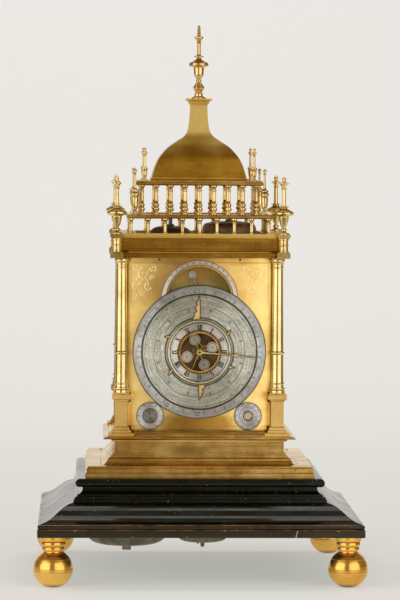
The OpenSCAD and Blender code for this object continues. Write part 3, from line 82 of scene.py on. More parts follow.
# Shader graphs
class Graph:
    """A material's node tree, with short calls for the nodes used here."""

    def __init__(self, name):
        self.material = bpy.data.materials.new(name)
        self.material.use_nodes = True
        self.tree = self.material.node_tree
        self.surface = self.tree.nodes["Principled BSDF"]
        self.coords = self.add("ShaderNodeTexCoord").outputs["Object"]
        self.heights = []

    def add(self, kind, **props):
        node = self.tree.nodes.new(kind)
        for key, value in props.items():
            setattr(node, key, value)
        return node

    def plug(self, value, socket):
        if hasattr(value, "is_output"):
            self.tree.links.new(value, socket)
        elif isinstance(value, (tuple, list)) and len(value) == 3 and socket.type == "RGBA":
            socket.default_value = (*value, 1)
        else:
            socket.default_value = value

    def math(self, operation, a, b=0.0):
        node = self.add("ShaderNodeMath", operation=operation)
        self.plug(a, node.inputs[0])
        self.plug(b, node.inputs[1])
        return node.outputs[0]

    def product(self, first, *others):
        for value in others:
            first = self.math("MULTIPLY", first, value)
        return first

    def inverse(self, value):
        return self.math("SUBTRACT", 1.0, value)

    def length(self, a, b):
        return self.math("SQRT", self.math("ADD", self.product(a, a), self.product(b, b)))

    def vector(self, operation, a, b=(0, 0, 0)):
        node = self.add("ShaderNodeVectorMath", operation=operation)
        self.plug(a, node.inputs[0])
        self.plug(b, node.inputs[1])
        return node.outputs[0]

    def split(self, vector):
        node = self.add("ShaderNodeSeparateXYZ")
        self.plug(vector, node.inputs[0])
        return node.outputs

    def join(self, x, z=0.0):
        node = self.add("ShaderNodeCombineXYZ")
        self.plug(x, node.inputs[0])
        self.plug(z, node.inputs[2])
        return node.outputs[0]

    def noise(self, scale, detail=4.0, rough=0.55, stretch=(1, 1, 1), distortion=0.0, place=None):
        if place is None:
            place = self.vector("MULTIPLY", self.coords, stretch)
        node = self.add("ShaderNodeTexNoise")
        self.plug(place, node.inputs["Vector"])
        node.inputs["Scale"].default_value = scale
        node.inputs["Detail"].default_value = detail
        node.inputs["Roughness"].default_value = rough
        node.inputs["Distortion"].default_value = distortion
        return node.outputs[0]

    def scratches(self, scale, stretch):
        """0 along the seams of long cells, 1 elsewhere."""
        node = self.add("ShaderNodeTexVoronoi", feature="DISTANCE_TO_EDGE")
        self.plug(self.vector("MULTIPLY", self.coords, stretch), node.inputs["Vector"])
        node.inputs["Scale"].default_value = scale
        return self.ramp(node.outputs["Distance"], 0.0, 0.02)

    def ramp(self, value, lo, hi):
        """A smooth step from 0 at lo to 1 at hi."""
        node = self.add("ShaderNodeMapRange", clamp=True, interpolation_type="SMOOTHSTEP")
        self.plug(value, node.inputs["Value"])
        node.inputs["From Min"].default_value = lo
        node.inputs["From Max"].default_value = hi
        return node.outputs["Result"]

    def span(self, value, lo, hi, to_lo, to_hi):
        node = self.add("ShaderNodeMapRange", clamp=True)
        self.plug(value, node.inputs["Value"])
        for key, number in (("From Min", lo), ("From Max", hi), ("To Min", to_lo), ("To Max", to_hi)):
            node.inputs[key].default_value = number
        return node.outputs["Result"]

    def mix(self, factor, a, b):
        node = self.add("ShaderNodeMix", data_type="RGBA")
        self.plug(factor, node.inputs[0])
        self.plug(a, node.inputs[6])
        self.plug(b, node.inputs[7])
        return node.outputs[2]

    # 1 where the ambient occlusion finds nearby surfaces: the mask of painted shade in corners and recesses.
    def crevice(self, distance):
        node = self.add("ShaderNodeAmbientOcclusion", samples=6)
        node.inputs["Distance"].default_value = distance
        return self.inverse(node.outputs["AO"])

    def worn(self, lo, hi):
        geometry = self.add("ShaderNodeNewGeometry")
        return self.ramp(geometry.outputs["Pointiness"], lo, hi)

    def rim(self, width):
        """1 along the sharp edges of a piece, in a line of some width."""
        node = self.add("ShaderNodeBevel", samples=4)
        node.inputs["Radius"].default_value = width
        true = self.add("ShaderNodeNewGeometry").outputs["True Normal"]
        dot = self.add("ShaderNodeVectorMath", operation="DOT_PRODUCT")
        self.plug(node.outputs[0], dot.inputs[0])
        self.plug(true, dot.inputs[1])
        return self.ramp(self.inverse(dot.outputs["Value"]), 0.004, 0.05)

    def within(self, radius, limit):
        return self.math("LESS_THAN", radius, limit * MM)

    def raise_by(self, height, distance):
        """Adds height, 0 to 1, as relief of that many metres."""
        self.heights.append((height, distance))

    def done(self, **sockets):
        normal = None
        for height, distance in self.heights:
            bump = self.add("ShaderNodeBump")
            bump.inputs["Strength"].default_value = 1.0
            bump.inputs["Distance"].default_value = distance
            self.plug(height, bump.inputs["Height"])
            if normal is not None:
                self.plug(normal, bump.inputs["Normal"])
            normal = bump.outputs[0]
        if normal is not None:
            self.plug(normal, self.surface.inputs["Normal"])
        for key, value in sockets.items():
            self.plug(value, self.surface.inputs[key.replace("_", " ")])
        return self.material


BRIGHT = (0.92, 0.66, 0.24)
DEEP = (0.72, 0.45, 0.12)
# The dark brown of small spots, of painted shade in corners and of painted shadow lines along edges.
DIRT_AND_SHADE = (0.09, 0.05, 0.013)
# The brown of the patches of painted shade.
PATCH_SHADE = (0.42, 0.20, 0.02)
STREAK = (0.95, 0.68, 0.22)
SILVER = (0.90, 0.885, 0.81)
TARNISH = (0.42, 0.41, 0.34)
SHADED_SILVER = (0.10, 0.085, 0.05)
LINE = (0.03, 0.03, 0.018)
# Painted shade: the dark brown that stands for the shaded openwork in the dial's centre.
SHADED_GROUND = (0.085, 0.045, 0.006)
RUBBED_WOOD = (0.36, 0.17, 0.06)
RUST = (0.09, 0.024, 0.01)
DUST = (0.42, 0.4, 0.3)
ALONG_X, ALONG_Z = (1, 1, 0.06), (0.1, 0.1, 1)


def times(colour, factor):
    """A colour made darker or lighter, at most nearly white."""
    return tuple(min(0.98, factor * part) for part in colour)


# Patches of painted shade, ragged at their borders, at the places listed as (x, z, half width, half height,
# strength) in mm.
def stained(g, colour, shade_patches):
    x, _, z = g.split(g.coords)
    for at_x, at_z, wide, high, strength in shade_patches:
        far_x = g.math("DIVIDE", g.math("SUBTRACT", x, at_x * MM), wide * MM)
        far_z = g.math("DIVIDE", g.math("SUBTRACT", z, at_z * MM), high * MM)
        far = g.math("ADD", g.product(far_x, far_x), g.product(far_z, far_z))
        ragged = g.math("ADD", far, g.span(g.noise(50, 3), 0.3, 0.7, -0.3, 0.3))
        near = g.inverse(g.ramp(ragged, 0.2, 1.3))
        colour = g.mix(g.product(near, strength), colour, PATCH_SHADE)
    return colour


def streaked(g, colour, deep, brush, strength):
    """Long dark and bright marks of the polishing cloth."""
    dark = g.ramp(g.noise(230, 3, 0.6, stretch=brush, distortion=0.2), 0.4, 0.62)
    colour = g.mix(g.product(dark, strength), colour, times(deep, 0.45))
    bright = g.ramp(g.noise(310, 3, 0.6, stretch=ALONG_Z), 0.6, 0.7)
    return g.mix(g.product(bright, strength), colour, STREAK)


def gilt(name, light, deep, dirt_and_shade=DIRT_AND_SHADE, rough=(0.16, 0.34), brush=(1, 1, 1), shade_reach=0.005,
         spotty=0.3, bow=0.0, shade_patches=(), edge=0.0, streaks=0.0, pale=None):
    """Old gilt brass: uneven colour, brush marks, dark spots, painted shade in the corners and recesses, and
    fine scratches.

    bow is how far a hammered front bulges between its middle and its sides. stains lists
    (x, z, half width, half height, strength) of patches of painted shade, in mm. edge is the strength of a
    painted shadow line along sharp edges. streaks is the strength of long brush streaks. pale gives
    (z from, z to, colour) over which a painted highlight lightens the gilding, which also gets duller."""
    g = Graph(name)
    x, _, z = g.split(g.coords)
    cloud = g.ramp(g.noise(26, 5, 0.62), 0.34, 0.7)
    spots = g.ramp(g.noise(420, 3, 0.6), 0.58, 0.74)
    colour = g.mix(cloud, light, deep)
    colour = g.mix(g.product(spots, spotty), colour, dirt_and_shade)
    if streaks:
        colour = streaked(g, colour, deep, brush, streaks)
    # Painted highlight: between the heights low and high the colour turns to a lighter tint, with a ragged
    # border, and the roughness rises.
    if pale:
        low, high, tint = pale
        blur = (high - low) * 0.25 * MM
        ragged = g.math("ADD", z, g.span(g.noise(40, 4), 0.3, 0.7, -blur, blur))
        painted_light_band = g.ramp(ragged, low * MM, high * MM)
        painted_light_colour = g.mix(g.ramp(g.noise(60, 4), 0.35, 0.7), tint, times(tint, 0.86))
        colour = g.mix(painted_light_band, colour, painted_light_colour)
    # Painted shade in patches.
    colour = stained(g, colour, shade_patches)
    # Painted shadow: a dark line along the sharp edges.
    if edge:
        colour = g.mix(g.product(g.rim(0.9 * MM), edge), colour, dirt_and_shade)
    # Painted shade: unevenly dark in corners and recesses, where the ambient occlusion finds nearby surfaces.
    corner = g.ramp(g.crevice(shade_reach), 0.22, 0.85)
    corner_shade = g.product(corner, g.span(g.noise(90, 4), 0.3, 0.7, 0.5, 1.0))
    colour = g.mix(g.product(corner_shade, 0.85), colour, dirt_and_shade)
    if bow:
        g.raise_by(g.inverse(g.product(x, x, 200.0)), bow)
    g.raise_by(g.noise(900, 3, 0.7, stretch=brush), 0.012 * MM)
    g.raise_by(g.noise(45, 3), 0.064 * MM)
    g.raise_by(g.scratches(160, (1, 1, 0.15)), 0.0048 * MM)
    roughness = g.span(g.math("ADD", g.noise(60, 5), g.product(corner_shade, 0.6)), 0.3, 0.95, *rough)
    if pale:
        roughness = g.math("ADD", roughness, g.product(painted_light_band, 0.16))
    return g.done(Base_Color=colour, Metallic=1.0, Roughness=roughness)


def radial(g, spots, split_z=None):
    """Radius about a centre (x, z in mm), the direction in which lathe marks spread light, and that
    direction in the object's own axes.

    With split_z, points under that height belong to the second centre and its mirror image."""
    x, _, z = g.split(g.coords)
    dx = g.math("SUBTRACT", x, spots[0][0] * MM)
    dz = g.math("SUBTRACT", z, spots[0][1] * MM)
    if split_z is not None:
        low = g.math("LESS_THAN", z, split_z * MM)
        high = g.inverse(low)
        low_x = g.math("SUBTRACT", x, g.product(g.math("SIGN", x), spots[1][0] * MM))
        low_z = g.math("SUBTRACT", z, spots[1][1] * MM)
        dx = g.math("ADD", g.product(low, low_x), g.product(high, dx))
        dz = g.math("ADD", g.product(low, low_z), g.product(high, dz))
    outward = g.vector("NORMALIZE", g.join(dx, dz))
    turn = g.add("ShaderNodeVectorTransform", vector_type="VECTOR", convert_from="OBJECT", convert_to="WORLD")
    g.plug(outward, turn.inputs[0])
    return g.length(dx, dz), turn.outputs[0], outward


def silvered(name, light, dark, spots, rings, rough=(0.3, 0.48), split_z=None, zones=(),
             marks=0.6, spread=0.8):
    """Silvered brass turned on a lathe: fine circles, a bow-tie sheen, tarnish, painted shade next to raised
    parts, and dark circles.

    rings lists (radius, half width) of dark circles, and zones (inner radius, outer radius, colour) of
    areas with another colour, in mm. The thin circles are engraved lines; the wide ones at the rims of the
    date ring and the calendar disc are painted shadow in the gaps between the parts. marks is the strength of
    the lathe marks."""
    g = Graph(name)
    radius, along, outward = radial(g, spots, split_z)
    circles = g.join(radius)
    arcs = g.vector("ADD", circles, g.vector("MULTIPLY", outward, (0.0026, 0.0026, 0.0026)))
    fine = g.noise(1500, 3, 0.5, place=arcs)
    broad = g.ramp(g.noise(420, 2, 0.5, place=circles), 0.45, 0.65)
    turned = g.ramp(fine, 0.38, 0.62)
    bared = g.inverse(g.ramp(fine, 0.34, 0.42))
    cloud = g.ramp(g.noise(34, 6, 0.68, distortion=0.7), 0.4, 0.72)
    mottle = g.ramp(g.noise(300, 4, 0.7), 0.46, 0.72)
    shaded = g.ramp(g.crevice(2.5 * MM), 0.2, 0.8)
    colour = g.mix(g.product(cloud, 0.7), light, dark)
    colour = g.mix(g.product(turned, marks * 0.55), colour, times(dark, 0.55))
    colour = g.mix(g.product(broad, marks * 0.4), colour, times(dark, 0.6))
    colour = g.mix(g.product(mottle, 0.35), colour, times(dark, 0.5))
    colour = g.mix(g.product(bared, marks), colour, times(light, 1.25))
    colour = g.mix(g.product(shaded, 0.75), colour, SHADED_SILVER)
    for lo, hi, tint in zones:
        inside = g.product(g.math("GREATER_THAN", radius, lo * MM), g.within(radius, hi))
        uneven = g.span(g.noise(200, 4), 0.3, 0.7, 0.93, 1.0)
        colour = g.mix(g.product(inside, uneven), colour, tint)
    line = 0.0
    # Wide circles are fully dark: at the rims of the date ring and the calendar disc they are painted shadow
    # in the gaps between the parts.
    for r, half in rings:
        near = g.math("ABSOLUTE", g.math("SUBTRACT", radius, r * MM))
        cut = g.inverse(g.ramp(near, half * MM * 0.6, half * MM))
        line = g.math("MAXIMUM", line, g.product(cut, 1.0 if half > 0.25 else 0.55))
    colour = g.mix(g.product(line, 0.9), colour, LINE)
    g.raise_by(turned, 0.006 * MM)
    g.raise_by(g.inverse(line), 0.1 * MM)
    g.raise_by(mottle, 0.01 * MM)
    roughness = g.span(g.noise(60, 5), 0.3, 0.7, *rough)
    return g.done(Base_Color=colour, Metallic=0.92, Roughness=roughness, Anisotropic=spread, Tangent=along)


def ebonised(name, rust, low, high, black, gloss, lines=()):
    """Black-polished wood: faint grain, wavy polish, reddish wear from low to high, small pale chips.

    Heights are in mm, and lines lists those of edges that are rubbed through to the brown wood."""
    g = Graph(name)
    _, _, z = g.split(g.coords)
    soft = 0.8 * MM
    grain = g.noise(60, 6, 0.6, stretch=(0.25, 1, 6))
    colour = g.mix(g.ramp(grain, 0.4, 0.75), black, times(black, 2.0))
    band = g.product(g.ramp(z, low * MM, low * MM + soft), g.inverse(g.ramp(z, high * MM - soft, high * MM)))
    patchy = g.ramp(g.noise(30, 5, 0.7, stretch=(1, 1, 4)), 0.5, 0.68)
    worn = g.product(band, patchy, rust)
    colour = g.mix(worn, colour, RUST)
    for height in lines:
        off = g.math("ABSOLUTE", g.math("SUBTRACT", z, height * MM))
        near = g.inverse(g.ramp(off, 0.2 * MM, 0.5 * MM))
        thin = g.span(g.noise(70, 4, 0.6, stretch=(1, 1, 0.2)), 0.38, 0.62, 0.05, 0.75)
        colour = g.mix(g.product(near, thin), colour, RUBBED_WOOD)
    rubbed = g.product(g.worn(0.58, 0.7), g.ramp(g.noise(90, 4), 0.62, 0.76))
    colour = g.mix(g.product(rubbed, 0.5), colour, (0.14, 0.075, 0.03))
    dust = g.ramp(g.noise(520, 2), 0.7, 0.76)
    colour = g.mix(g.product(dust, 0.8), colour, DUST)
    g.raise_by(g.noise(16, 3, 0.5), 0.4 * MM)
    g.raise_by(grain, 0.03 * MM)
    roughness = g.span(g.math("ADD", g.noise(30, 5), worn), 0.3, 1.0, 0.1, 0.34)
    return g.done(Base_Color=colour, Metallic=0.0, Roughness=roughness, Specular_IOR_Level=gloss,
                  Coat_Weight=0.15, Coat_Roughness=0.05)


def bell_metal(name, light, deep):
    g = Graph(name)
    colour = g.mix(g.ramp(g.noise(70, 6, 0.65), 0.35, 0.65), light, deep)
    green = g.ramp(g.noise(160, 5), 0.6, 0.72)
    colour = g.mix(g.product(green, 0.4), colour, (0.06, 0.085, 0.05))
    g.raise_by(g.noise(500, 4, 0.7), 0.12 * MM)
    g.raise_by(g.noise(60, 2), 0.3 * MM)
    return g.done(Base_Color=colour, Metallic=0.9, Roughness=g.span(g.noise(90, 4), 0.3, 0.7, 0.28, 0.55))


def filed_steel(name):
    g = Graph(name)
    colour = g.mix(g.ramp(g.noise(90, 5), 0.35, 0.7), (0.15, 0.145, 0.14), (0.07, 0.058, 0.045))
    g.raise_by(g.noise(1200, 3, 0.6, stretch=(1, 1, 0.1)), 0.02 * MM)
    return g.done(Base_Color=colour, Metallic=1.0, Roughness=g.span(g.noise(150, 4), 0.3, 0.7, 0.25, 0.5))


def cut_line(name, colour, rough=0.6):
    """The dark filling of an engraved line."""
    g = Graph(name)
    shade = g.mix(g.ramp(g.noise(500, 3), 0.3, 0.8), colour, times(colour, 2.2))
    return g.done(Base_Color=shade, Metallic=0.3, Roughness=rough)


def pointer_brass(name):
    """The pointer ring: silver next to the hours, ivory edges and golden flames, with painted shade on the
    part inside it and in its groove, and painted shadow lines at its rims and along the flames' edges.
    """
    g = Graph(name)
    radius, _, _ = radial(g, (DIAL,))
    off = g.math("ABSOLUTE", g.math("SUBTRACT", radius, POINTER_GROOVE * MM))
    # Painted shade: the groove between the two ivory edges is a near-black grey.
    ring = g.mix(g.ramp(off, 0.35 * MM, 0.75 * MM), (0.12, 0.11, 0.06), (0.94, 0.87, 0.66))
    # Painted shadow: dark lines at the ring's inner and outer rims.
    ring = g.mix(g.ramp(off, 1.0 * MM, 1.3 * MM), ring, (0.07, 0.06, 0.035))
    silver = g.mix(g.ramp(g.noise(160, 4), 0.4, 0.7), SILVER, TARNISH)
    gold = g.mix(g.ramp(g.noise(120, 4), 0.35, 0.7), (0.97, 0.76, 0.38), (0.84, 0.54, 0.18))
    # Painted shadow: a dark line along the flames' edges.
    gold = g.mix(g.product(g.rim(1.3 * MM), 0.85), gold, (0.08, 0.04, 0.012))
    colour = g.mix(g.within(radius, POINTER_OUT), gold, ring)
    colour = g.mix(g.within(radius, POINTER_SILVER), colour, silver)
    # Painted shade: inside POINTER_IN the ring takes the dark brown of the shaded openwork.
    colour = g.mix(g.within(radius, POINTER_IN), colour, SHADED_GROUND)
    g.raise_by(g.noise(300, 3), 0.02 * MM)
    return g.done(Base_Color=colour, Metallic=0.95, Roughness=g.span(g.noise(60, 4), 0.3, 0.7, 0.3, 0.44))


def aspect_brass(name):
    """The aspect wheel: an orange gold toothed rim, with arms darkened by painted shade and painted shade in
    its corners.
    """
    g = Graph(name)
    radius, _, _ = radial(g, (DIAL,))
    gold = g.mix(g.ramp(g.noise(150, 4), 0.35, 0.7), (0.90, 0.56, 0.2), (0.62, 0.33, 0.08))
    # Painted shade: the arms inside the rim are darkened towards the dark brown of the shaded openwork.
    colour = g.mix(g.product(g.within(radius, ASPECT_RIM), 0.45), gold, SHADED_GROUND)
    # Painted shade in the corners, where the ambient occlusion finds nearby surfaces.
    corner = g.ramp(g.crevice(1.2 * MM), 0.25, 0.8)
    colour = g.mix(g.product(corner, 0.7), colour, DIRT_AND_SHADE)
    g.raise_by(g.noise(400, 3), 0.02 * MM)
    return g.done(Base_Color=colour, Metallic=1.0, Roughness=g.span(g.noise(60, 4), 0.3, 0.7, 0.2, 0.36))


# Heights of the dome's neck and of the entablature's top fillet, where a painted highlight lightens the
# gilding, and of the worn band on the slab, in mm
NECK_FROM, NECK_TO = 410.0, 434.0
FILLET_FROM, FILLET_TO = 332.3, 333.1
WEAR_FROM, WEAR_TO = 59.0, 62.5
# Painted shade on the dial plate's face: dark patches below the dial, under the entablature, beside the left
# column and about the arch.
FACE_SHADE_PATCHES = ((0, 150, 42, 14, 0.85), (0, 311, 75, 6, 0.5), (-66, 215, 8, 30, 0.25), (0, 290, 60, 30, 0.35))
mats = {
    "face": gilt("gilt_face", (0.94, 0.71, 0.27), (0.76, 0.52, 0.16), rough=(0.28, 0.44), brush=ALONG_X,
                 bow=0.008, shade_patches=FACE_SHADE_PATCHES),
    "plate": gilt("gilt_plate", BRIGHT, DEEP, rough=(0.32, 0.48), brush=ALONG_X),
    "foot": gilt("gilt_foot", (0.96, 0.60, 0.14), (0.82, 0.42, 0.07), rough=(0.2, 0.32)),
    "turned": gilt("gilt_turned", (0.94, 0.76, 0.37), (0.66, 0.49, 0.19), rough=(0.14, 0.3),
                   brush=ALONG_Z, shade_reach=0.004),
    "moulded": gilt("gilt_moulded", BRIGHT, (0.64, 0.38, 0.08), rough=(0.15, 0.32), brush=(0.05, 0.05, 1),
                    streaks=0.3),
    "cap": gilt("gilt_cap", (0.95, 0.69, 0.24), (0.82, 0.56, 0.16), rough=(0.26, 0.42),
                brush=(0.06, 0.06, 1), shade_reach=0.002),
    "finial": gilt("gilt_finial", (0.84, 0.62, 0.27), (0.60, 0.40, 0.13), rough=(0.14, 0.3),
                   brush=ALONG_Z, shade_reach=0.004),
    # The dome's neck gets a painted highlight (pale).
    "roof": gilt("gilt_roof", (0.62, 0.36, 0.045), (0.36, 0.185, 0.015), rough=(0.18, 0.32),
                 brush=ALONG_Z, spotty=0.15, streaks=0.12, pale=(NECK_FROM, NECK_TO, (0.84, 0.61, 0.20))),
    # The entablature's top fillet gets a painted highlight (pale).
    "frieze": gilt("gilt_frieze", (0.76, 0.47, 0.09), (0.56, 0.315, 0.04), rough=(0.14, 0.26),
                   brush=(0.05, 0.05, 1), streaks=0.45, pale=(FILLET_FROM, FILLET_TO, (0.88, 0.62, 0.17))),
    "movement": gilt("gilt_movement", (0.86, 0.60, 0.22), (0.6, 0.36, 0.09), rough=(0.22, 0.4)),
    # The hands get a painted shadow line along their edges (edge).
    "hands": gilt("gilt_hands", (0.96, 0.78, 0.40), (0.80, 0.56, 0.22), rough=(0.3, 0.44),
                  shade_reach=0.0015, edge=0.9),
    # A patch of painted shade at the top of the arch's recess.
    "recess": gilt("gilt_recess", (0.46, 0.345, 0.12), (0.20, 0.15, 0.045), (0.05, 0.04, 0.012),
                   rough=(0.3, 0.5), shade_reach=0.007, shade_patches=((-4, 300, 40, 9, 0.4),)),
    "slab": ebonised("ebony_slab", 1.0, WEAR_FROM, WEAR_TO, (0.021, 0.0155, 0.006), 0.35, (56.3, 60.7)),
    "wood": ebonised("ebony_moulding", 0.35, WEAR_FROM + 1, WEAR_TO, (0.0016, 0.0032, 0.0008), 0.34),
    "bell": bell_metal("bell_metal", (0.32, 0.22, 0.14), (0.12, 0.09, 0.055)),
    "low_bell": bell_metal("low_bell_metal", (0.30, 0.27, 0.18), (0.14, 0.12, 0.07)),
    "steel": filed_steel("filed_steel"),
    "black": cut_line("engraved_black", (0.012, 0.011, 0.008)),
    "grey": cut_line("engraved_grey", (0.07, 0.075, 0.08)),
    # Painted shadow: the dark line around raised flat pieces.
    "rim": cut_line("painted_shadow_line", (0.03, 0.018, 0.008)),
    "wax": cut_line("old_wax", (0.42, 0.31, 0.14), 0.7),
    "pale": gilt("engraved_pale", (0.98, 0.85, 0.50), (0.94, 0.75, 0.38), (0.3, 0.2, 0.06),
                 rough=(0.22, 0.36), spotty=0.15),
    "shade": gilt("engraved_shade", (0.42, 0.27, 0.08), (0.3, 0.19, 0.05), rough=(0.4, 0.55), spotty=0.1),
    # The wide circles at the date ring's rims are painted shadow in the gaps beside it.
    "date": silvered("silver_date", (0.77, 0.78, 0.76), (0.36, 0.37, 0.36), (DIAL,),
                     [(64.8, 0.5), (DATE_OUT, 0.14), (DATE_TRACK, 0.12), (DATE_IN, 0.5)],
                     (0.4, 0.52), marks=0.45, spread=0.94),
    # The wide circles at the calendar disc's rims are painted shadow in the gaps beside it.
    "calendar": silvered("silver_calendar", (0.84, 0.86, 0.76), (0.42, 0.445, 0.365), (DIAL,),
                         [(CALENDAR_OUT, 0.45), (DAY_TRACK[0], 0.16), (WRITING_OUT, 0.12),
                          (WEEK_TRACK[1], 0.16), (WEEK_TRACK[0], 0.12), (MOON_TRACK[1], 0.15),
                          (MOON_TRACK[0], 0.12), (CALENDAR_IN, 0.7)],
                         (0.36, 0.5), marks=1.0, spread=0.86),
    # Inside GROUND_OUT the hour ring is painted dark brown: painted shade for the shaded openwork of the
    # dial's centre.
    "hour": silvered("silver_hour", SILVER, TARNISH, (DIAL,), [(27.2, 0.12), (21.6, 0.3)], (0.38, 0.5),
                     zones=((0.0, GROUND_IN, (0.16, 0.105, 0.03)), (GROUND_IN, GROUND_OUT, SHADED_GROUND)),
                     marks=0.4, spread=0.97),
    "roundel": silvered("silver_roundel", (0.62, 0.60, 0.50), TARNISH, (DIAL,), [], marks=0.2),
    "arch": silvered("silver_arch", (0.84, 0.84, 0.86), (0.44, 0.43, 0.43), (ARCH, SMALL[1]),
                     [(37.2, 0.3), (ARCH_TRACK[1], 0.1), (ARCH_TRACK[0], 0.3),
                      (13.2, 0.3), (12.0, 0.12), (8.0, 0.14), (4.6, 0.8)],
                     split_z=190.0, zones=((ARCH_TRACK[0], 36.4, (0.78, 0.66, 0.58)),), marks=0.5),
    "small": silvered("silver_small", (0.68, 0.68, 0.66), (0.4, 0.39, 0.37), (ARCH,), []),
    "age": silvered("silver_age", (0.70, 0.67, 0.64), (0.42, 0.39, 0.36), SMALL[:1],
                    [(AGE_TRACK[1], 0.35), (AGE_TRACK[0], 0.1)],
                    zones=((0.0, 7.3, (0.22, 0.235, 0.19)),), marks=0.5),
    "pointer": pointer_brass("gilt_pointer"),
    "aspect": aspect_brass("gilt_aspect"),
}

LOOKS = {
    "face": "dial_plate",
    "plate": "back_plate left_door right_door corner_angles tower_floor bell_floor pedestals",
    "foot": "ball_feet",
    "turned": "columns corner_drums corner_finials lower_balusters upper_balusters "
    "gallery_finials hinge_pins left_latch right_latch",
    "finial": "top_finial",
    "cap": "dome_cap",
    "moulded": "gilt_base_lower gilt_base_upper base_skirt middle_rail eave_plate",
    "frieze": "entablature",
    "roof": "dome",
    "movement": "movement_plates going_barrel fusee second_wheel third_wheel crown_wheel strike_barrel "
    "pin_wheel fly",
    "hands": "main_hand thin_hand alarm_hand",
    "pointer": "pointer_ring",
    "aspect": "aspect_wheel",
    "recess": "arch_ground",
    "slab": "plinth_slab",
    "wood": "plinth_ogee plinth_neck plinth_board",
    "bell": "hour_bell quarter_bell",
    "low_bell": "base_bells",
    "steel": "bell_posts hour_hammer quarter_hammer balance",
    "date": "date_ring",
    "calendar": "calendar_disc",
    "hour": "hour_ring",
    "roundel": "roundels",
    "arch": "plate_rings",
    "small": "moon_pointer",
    "age": "age_disc",
}
EDGE_WIDTHS = {
    "plinth_slab": 0.9, "plinth_ogee": 0.6, "plinth_neck": 0.5, "pedestals": 0.4, "gilt_base_lower": 0.3,
    "gilt_base_upper": 0.3, "base_skirt": 0.3, "entablature": 0.2, "middle_rail": 0.4, "eave_plate": 0.3,
    "dome_cap": 0.3, "dial_plate": 0.2, "left_door": 0.3, "right_door": 0.3, "back_plate": 0.3,
}
for look, names in LOOKS.items():
    for name in names.split():
        node = nodes[name]
        node.data.materials.clear()
        node.data.materials.append(mats[look])
for name, width in EDGE_WIDTHS.items():
    bevel = nodes[name].modifiers.new("edge", "BEVEL")
    bevel.width = width * MM
    bevel.segments = 2
    bevel.limit_method = "ANGLE"
    bevel.angle_limit = math.radians(32)
    bevel.harden_normals = False


# Meshes of the scene's own pieces
def new_object(name, verts, faces, material, smooth=False):
    mesh = bpy.data.meshes.new(name)
    mesh.from_pydata(verts, [], faces)
    mesh.update()
    for face in mesh.polygons:
        face.use_smooth = smooth
    made = bpy.data.objects.new(name, mesh)
    bpy.context.scene.collection.objects.link(made)
    made.data.materials.append(material)
    return made


def polar(centre, radius, angle):
    return centre[0] + radius * math.cos(angle), centre[1] + radius * math.sin(angle)


# Engraved lines
class Engraving:
    """Flat strokes on a plane in front of a plate, in mm, gathered into one mesh."""

    def __init__(self, name, body, material, y, slot="silvered_brass"):
        self.name, self.body, self.material, self.y, self.slot = name, body, material, y, slot
        self.verts, self.faces = [], []

    def quad(self, corners):
        base = len(self.verts)
        self.verts += [(x * MM, self.y * MM, z * MM) for x, z in corners]
        self.faces.append(tuple(range(base, base + len(corners))))

    def stroke(self, points, width, taper=1.0):
        count = len(points) - 1
        for i, (a, b) in enumerate(zip(points, points[1:])):
            dx, dz = b[0] - a[0], b[1] - a[1]
            length = math.hypot(dx, dz) or 1e-9
            wa = width * (1 + (taper - 1) * i / count) / 2
            wb = width * (1 + (taper - 1) * (i + 1) / count) / 2
            nx, nz = -dz / length, dx / length
            ex, ez = dx / length * wb * 0.3, dz / length * wb * 0.3
            self.quad([
                (a[0] + nx * wa, a[1] + nz * wa), (a[0] - nx * wa, a[1] - nz * wa),
                (b[0] - nx * wb + ex, b[1] - nz * wb + ez), (b[0] + nx * wb + ex, b[1] + nz * wb + ez),
            ])

    def burr(self, points, width, height, taper=0.4):
        """A cut with raised sides: two facets along a line, so that each catches the light from its side."""
        base, last = len(self.verts), len(points) - 1
        for i, (x, z) in enumerate(points):
            a, b = points[max(i - 1, 0)], points[min(i + 1, last)]
            dx, dz = b[0] - a[0], b[1] - a[1]
            length = math.hypot(dx, dz) or 1e-9
            half = width * (1 + (taper - 1) * i / last) / 2
            nx, nz = -dz / length * half, dx / length * half
            top = self.y - height * half * 2 / width
            ridge = ((x + nx, self.y, z + nz), (x, top, z), (x - nx, self.y, z - nz))
            self.verts += [tuple(part * MM for part in place) for place in ridge]
        for i in range(last):
            k = base + 3 * i
            self.faces += [(k, k + 3, k + 4, k + 1), (k + 1, k + 4, k + 5, k + 2)]

    def ring(self, centre, radius, width, steps=160):
        inner, outer = radius - width / 2, radius + width / 2
        for i in range(steps):
            a, b = (math.radians(360.0 * k / steps) for k in (i, i + 1))
            self.quad([polar(centre, r, t) for r, t in ((inner, a), (outer, a), (outer, b), (inner, b))])

    def ticks(self, centre, count, inner, outer, width, long_every=0, long_inner=None,
              start=0.0, sweep=360.0):
        """Divisions of a circle or of an arc of sweep degrees, clockwise from start."""
        for i in range(count + (0 if sweep == 360.0 else 1)):
            a = math.radians(90 - start - sweep * i / count)
            lo = long_inner if long_every and i % long_every == 0 else inner
            self.stroke([polar(centre, r, a) for r in (lo, outer)], width)

    def glyph(self, lines, centre, radius, angle, size, width, squeeze=0.62):
        """Draws lines given in a 1 x 1 box, at an angle clockwise from the top, foot towards the centre."""
        t = math.radians(90 - angle)
        out, side = (math.cos(t), math.sin(t)), (math.sin(t), -math.cos(t))
        middle = polar(centre, radius, t)
        for line, weight in lines:
            points = []
            for u, v in line:
                right, up = size * (u - 0.5) * squeeze, size * (v - 0.5)
                points.append(tuple(middle[k] + right * side[k] + up * out[k] for k in (0, 1)))
            self.stroke(points, width * weight)

    def make(self):
        made = new_object(self.name, self.verts, self.faces, self.material)
        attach(made, self.body)


